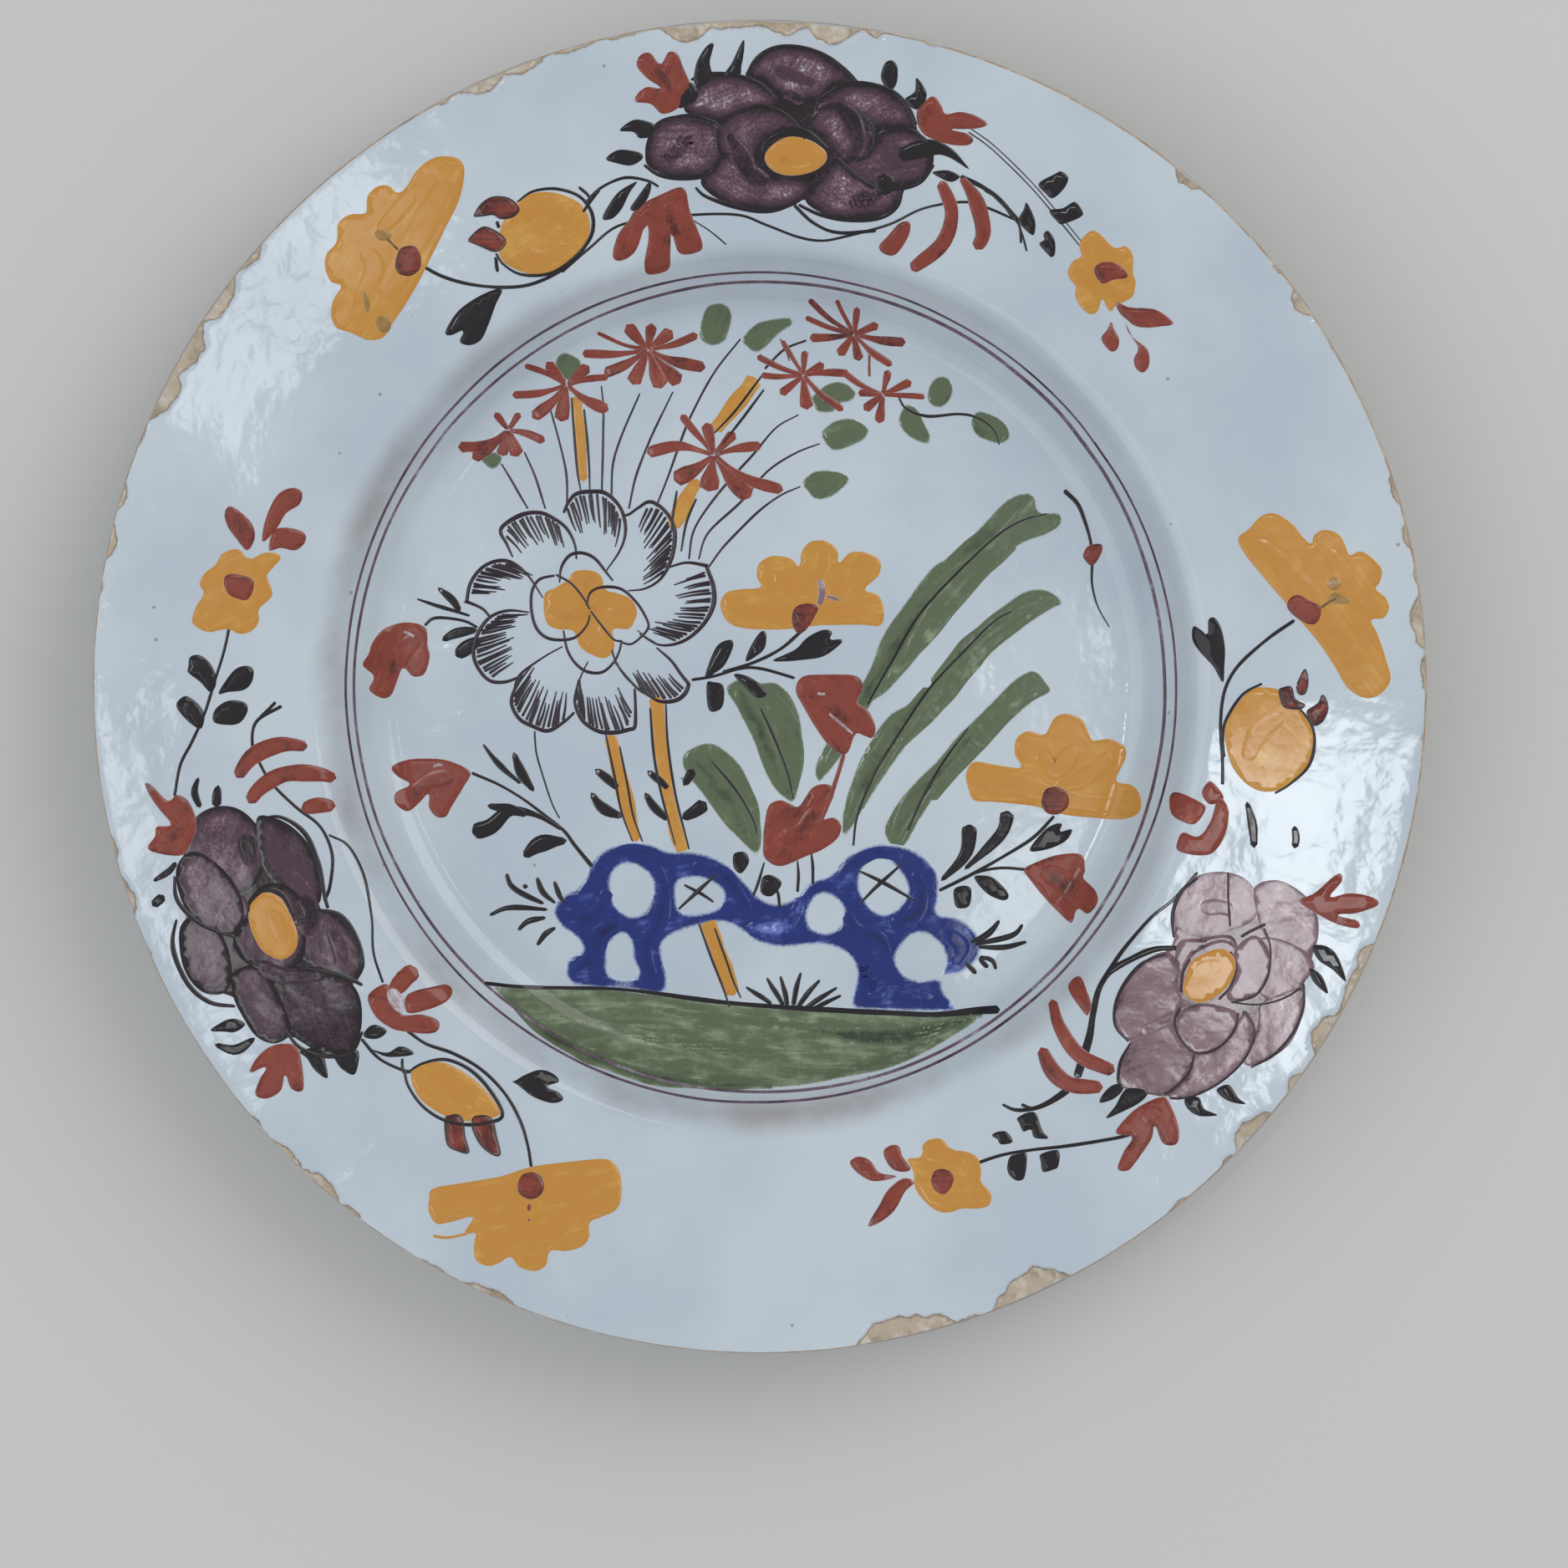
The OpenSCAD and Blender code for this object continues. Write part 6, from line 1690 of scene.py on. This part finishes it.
# Dark sprigs, grass and a tendril in the well
laid("upper_left_sprig", "black", 0.08, [], [
    ([(-87, 16), (-84, 18), (-77, 17.3), (-73, 15.5)], 0.9, 0.9),
    ([(-83.5, 26), (-80, 23), (-77.5, 19.5)], [0.8, 2.6, 1.4], 1.1),
    ([(-89, 23), (-83, 21), (-75, 18.5)], [0.6, 1.3, 0.8], 0.9),
    ([(-82.5, 12), (-79, 14), (-73, 15)], [1, 3.5, 1], 1.1),
    ([(-79, 8), (-75, 11), (-72, 12.5)], [2, 5, 2], 1.1)])
laid("lower_left_sprig", "black", 0.08, [], [
    ([(-75, -22), (-68, -25), (-62, -28.5), (-56, -33), (-51, -37), (-48, -41), (-43.5, -46.5)],
     [0.9, 0.9, 1.1, 1.3], 0.95),
    ([(-58.5, -11), (-58, -17), (-56, -24), (-54, -30), (-52, -34)], 0.6, 0.7),
    ([(-72, -14.5), (-68, -19.5), (-62, -25)], [0.7, 2, 0.9], 1.0),
    ([(-64, -16.5), (-62, -22), (-58.5, -27)], [1, 3.6, 1], 1.1),
    ([(-75, -37.5), (-70, -36), (-65, -32), (-58, -33), (-51, -37)], [4.5, 4, 2.4, 1.2, 0.9], 1.1),
    ([(-71, -30.5), (-65, -31.5), (-60, -33)], [1, 3.5, 1.4], 1.0),
    ([(-61.5, -44), (-57, -40.5), (-50, -39.5)], [2, 5, 1.2], 1.1)])
laid("middle_sprig", "black", 0.10, [
    ([(-14.5, 2.5), (-11.5, 10.5), (-8, 12.5), (-7, 11), (-9, 6), (-12, 3.5)], 1, 60),
    ([(-4, 7), (-2.5, 11), (0, 14.5), (1.5, 14), (1, 10), (-2, 7.5)], 1, 60),
    ([(3, 7), (9, 10), (12, 13), (16, 15), (18.5, 14.5), (18, 12.5), (21, 12.5), (20.5, 11), (16, 8),
      (10, 7)], 1, 30),
    ([(-13.5, -5.5), (-14, 1), (-12, 1.5), (-9.5, 0.5), (-9.5, -4), (-11, -6)], 1, 80),
    ([(-7, 3.5), (-3, 3), (1, 0), (1.5, -2), (-1, -2.5), (-4, 0)], 1, -40)], [
    ([(-18, 2), (-12, 3), (-5, 5), (0, 5), (9, 2.5)], 0.9, 0.9),
    ([(-10, 4), (-2, 6.5), (5, 10), (11, 15)], 1.0, 0.9)])
laid("right_sprig", "black", 0.08, [
    ([(69.5, -42), (73, -37), (76, -35), (78, -35), (77.5, -37), (80.5, -36.5), (79, -39.5),
      (75, -41.5)], 1, 40),
    ([(55.5, -48.5), (60, -49), (64, -53), (63, -55), (59, -53.5), (56, -50.5)], 1, -40),
    ([(50, -52), (52.5, -51), (54.5, -52), (54, -56.5), (51, -57), (50, -55)], 1, -80)], [
    ([(76, -33), (70, -39), (62, -44), (55, -48), (46, -52.5)], 1.0, 0.9),
    ([(69, -47), (62, -46.5), (55, -48), (47, -52)], 0.9, 0.9),
    ([(54, -35), (53, -43), (46.5, -50)], [4.5, 3, 1], 1.1),
    ([(64, -31.5), (62, -38), (52.5, -47)], [4, 3, 1], 1.1)])
laid("grass_tufts", "black", 0.08, [], [
    ([(-66, -48), (-64, -52), (-56, -56)], [1.08, 1.89, 0.94], 0.95),
    ([(-70.5, -59), (-65, -57), (-55, -57.5)], [0.94, 1.89, 0.94], 0.95),
    ([(-58, -49), (-56.5, -53), (-53, -56)], [1.08, 2.03, 0.81], 0.95),
    ([(-53.5, -50), (-52, -54), (-50.5, -56)], [0.94, 1.62, 0.81], 0.95),
    ([(-61.8, -51.5), (-61, -51.5), (-60.2, -51.7)], 1.3, 1.0),
    ([(-63, -63), (-60, -60.5), (-55.5, -59.5)], [0.94, 1.89, 0.81], 0.95),
    ([(-58, -67), (-56, -64), (-53, -62)], [0.94, 1.89, 0.81], 0.95),
    ([(-4, -77.5), (0, -80), (3, -82)], [0.68, 1.62, 1.08], 1.0),
    ([(1.5, -75), (4, -79), (6, -82.5)], [0.68, 1.62, 1.22], 1.0),
    ([(5, -74.5), (6.2, -78.5), (7, -82.5)], [0.68, 1.62, 1.22], 1.0),
    ([(10.5, -73.5), (9.2, -78), (8.5, -82.5)], [0.68, 1.76, 1.22], 1.0),
    ([(15.5, -75.5), (12.3, -79), (9.5, -83)], [0.68, 1.76, 1.22], 1.0),
    ([(20, -77.5), (15.5, -80.3), (11, -83.5)], [0.68, 1.62, 1.22], 1.0),
    ([(21, -79.5), (17, -81.5), (13, -83.5)], [0.68, 1.49, 1.08], 1.0),
    ([(62, -60), (59, -63.5), (54, -66)], [0.94, 1.89, 0.94], 0.95),
    ([(68, -61), (65, -64), (55, -66.5)], [0.94, 1.89, 0.94], 0.95),
    ([(69, -65.5), (63, -67), (56, -67)], [0.94, 1.76, 0.94], 0.95),
    ([(59, -72.5), (57.5, -71), (56.5, -69.5)], [1.08, 1.76, 0.94], 0.95),
    ([(61, -73), (60, -70.5), (56.5, -69.5)], [0.94, 1.62, 0.81], 0.95),
    ([(53, -71), (54.6, -72.6), (56, -74)], [0.94, 1.62, 1.08], 0.95)])
laid("tendril", "black", 0.08, [], [
    ([(78, 51), (81.5, 47.5), (83.5, 43), (85, 38), (85.5, 33), (85.5, 27), (87, 21), (90, 15.5)],
     [1.3, 1.1, 0.9, 0.7, 0.4], 0.9)])
laid("tendril_bud", "red", 0.13, [
    ([(83, 34.5), (84.5, 36.8), (88, 37), (87.5, 34), (85.5, 31.5), (83.5, 33)], 1.1, 0)])


# ---- Floor, lights and camera -----------------------------------------------------------------

# A plain pale floor
paper = Look("paper", 0.9)
paper.shader.inputs["Base Color"].default_value = colour("D6D4D0")
floor = new_object("floor", [(-6, -6, 0), (6, -6, 0), (6, 6, 0), (-6, 6, 0)], [(0, 1, 2, 3)])
floor.data.materials.append(paper.material)
floor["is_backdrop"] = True


PANE_HEIGHT = 1.95      # how high the bright panes are over the dish, in metres


def soft_light(name, towards, distance, size, watts, tint):
    """A soft rectangular light in a direction from the dish, facing it"""
    data = bpy.data.lights.new(name, "AREA")
    data.shape = "RECTANGLE"
    data.size, data.size_y = size
    data.energy, data.color = watts, tint
    lamp = bpy.data.objects.new(name, data)
    way = Vector(towards).normalized()
    lamp.location = way * distance
    lamp.rotation_euler = (-way).to_track_quat("-Z", "Y").to_euler()
    bpy.context.collection.objects.link(lamp)
    return lamp


def glare(name, x, y, width, height, radiance):
    """A small bright pane overhead, in metres, that the glaze mirrors. It faces straight down"""
    watts = radiance * width * height * math.pi
    lamp = soft_light(name, (x, y, PANE_HEIGHT), math.hypot(x, y, PANE_HEIGHT), (width, height), watts,
                      (0.95, 0.98, 1.0))
    lamp.rotation_euler = (0, 0, 0)


# Two large soft lights, and three panes for the bright reflections in the glaze
soft_light("window", (0.70, 0.58, 0.95), 2.2, (1.6, 1.6), 14, (1.0, 0.985, 0.96))
soft_light("room", (-0.8, -0.3, 0.9), 2.4, (2.0, 2.0), 10, (0.88, 0.94, 1.0))
glare("right_pane", -0.358, 0.050, 0.15, 0.15, 9)
glare("left_pane", 0.178, 0.015, 0.05, 0.14, 5)
glare("top_pane", 0.145, -0.220, 0.07, 0.11, 4)

world = bpy.data.worlds.new("studio")
world.use_nodes = True
world.node_tree.nodes["Background"].inputs["Color"].default_value = (0.86, 0.89, 0.925, 1)
world.node_tree.nodes["Background"].inputs["Strength"].default_value = 0.60
bpy.context.scene.world = world
bpy.context.scene.view_settings.view_transform = "Standard"

# The camera looks down on the dish from a little over 1.3 m, with the top of the picture up
lens = bpy.data.cameras.new("camera")
lens.lens, lens.sensor_width = 118.0, 36.0
camera = bpy.data.objects.new("camera", lens)
eye, aim = Vector((38, 43, 1338)) * MM, Vector((6.7, -23.5, 38)) * MM
back = (eye - aim).normalized()
right = Vector((0, 1, 0)).cross(back).normalized()
turn = Matrix((right, back.cross(right), back)).transposed()
camera.matrix_world = Matrix.Translation(eye) @ turn.to_4x4()
bpy.context.collection.objects.link(camera)
bpy.context.scene.camera = camera

low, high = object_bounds()
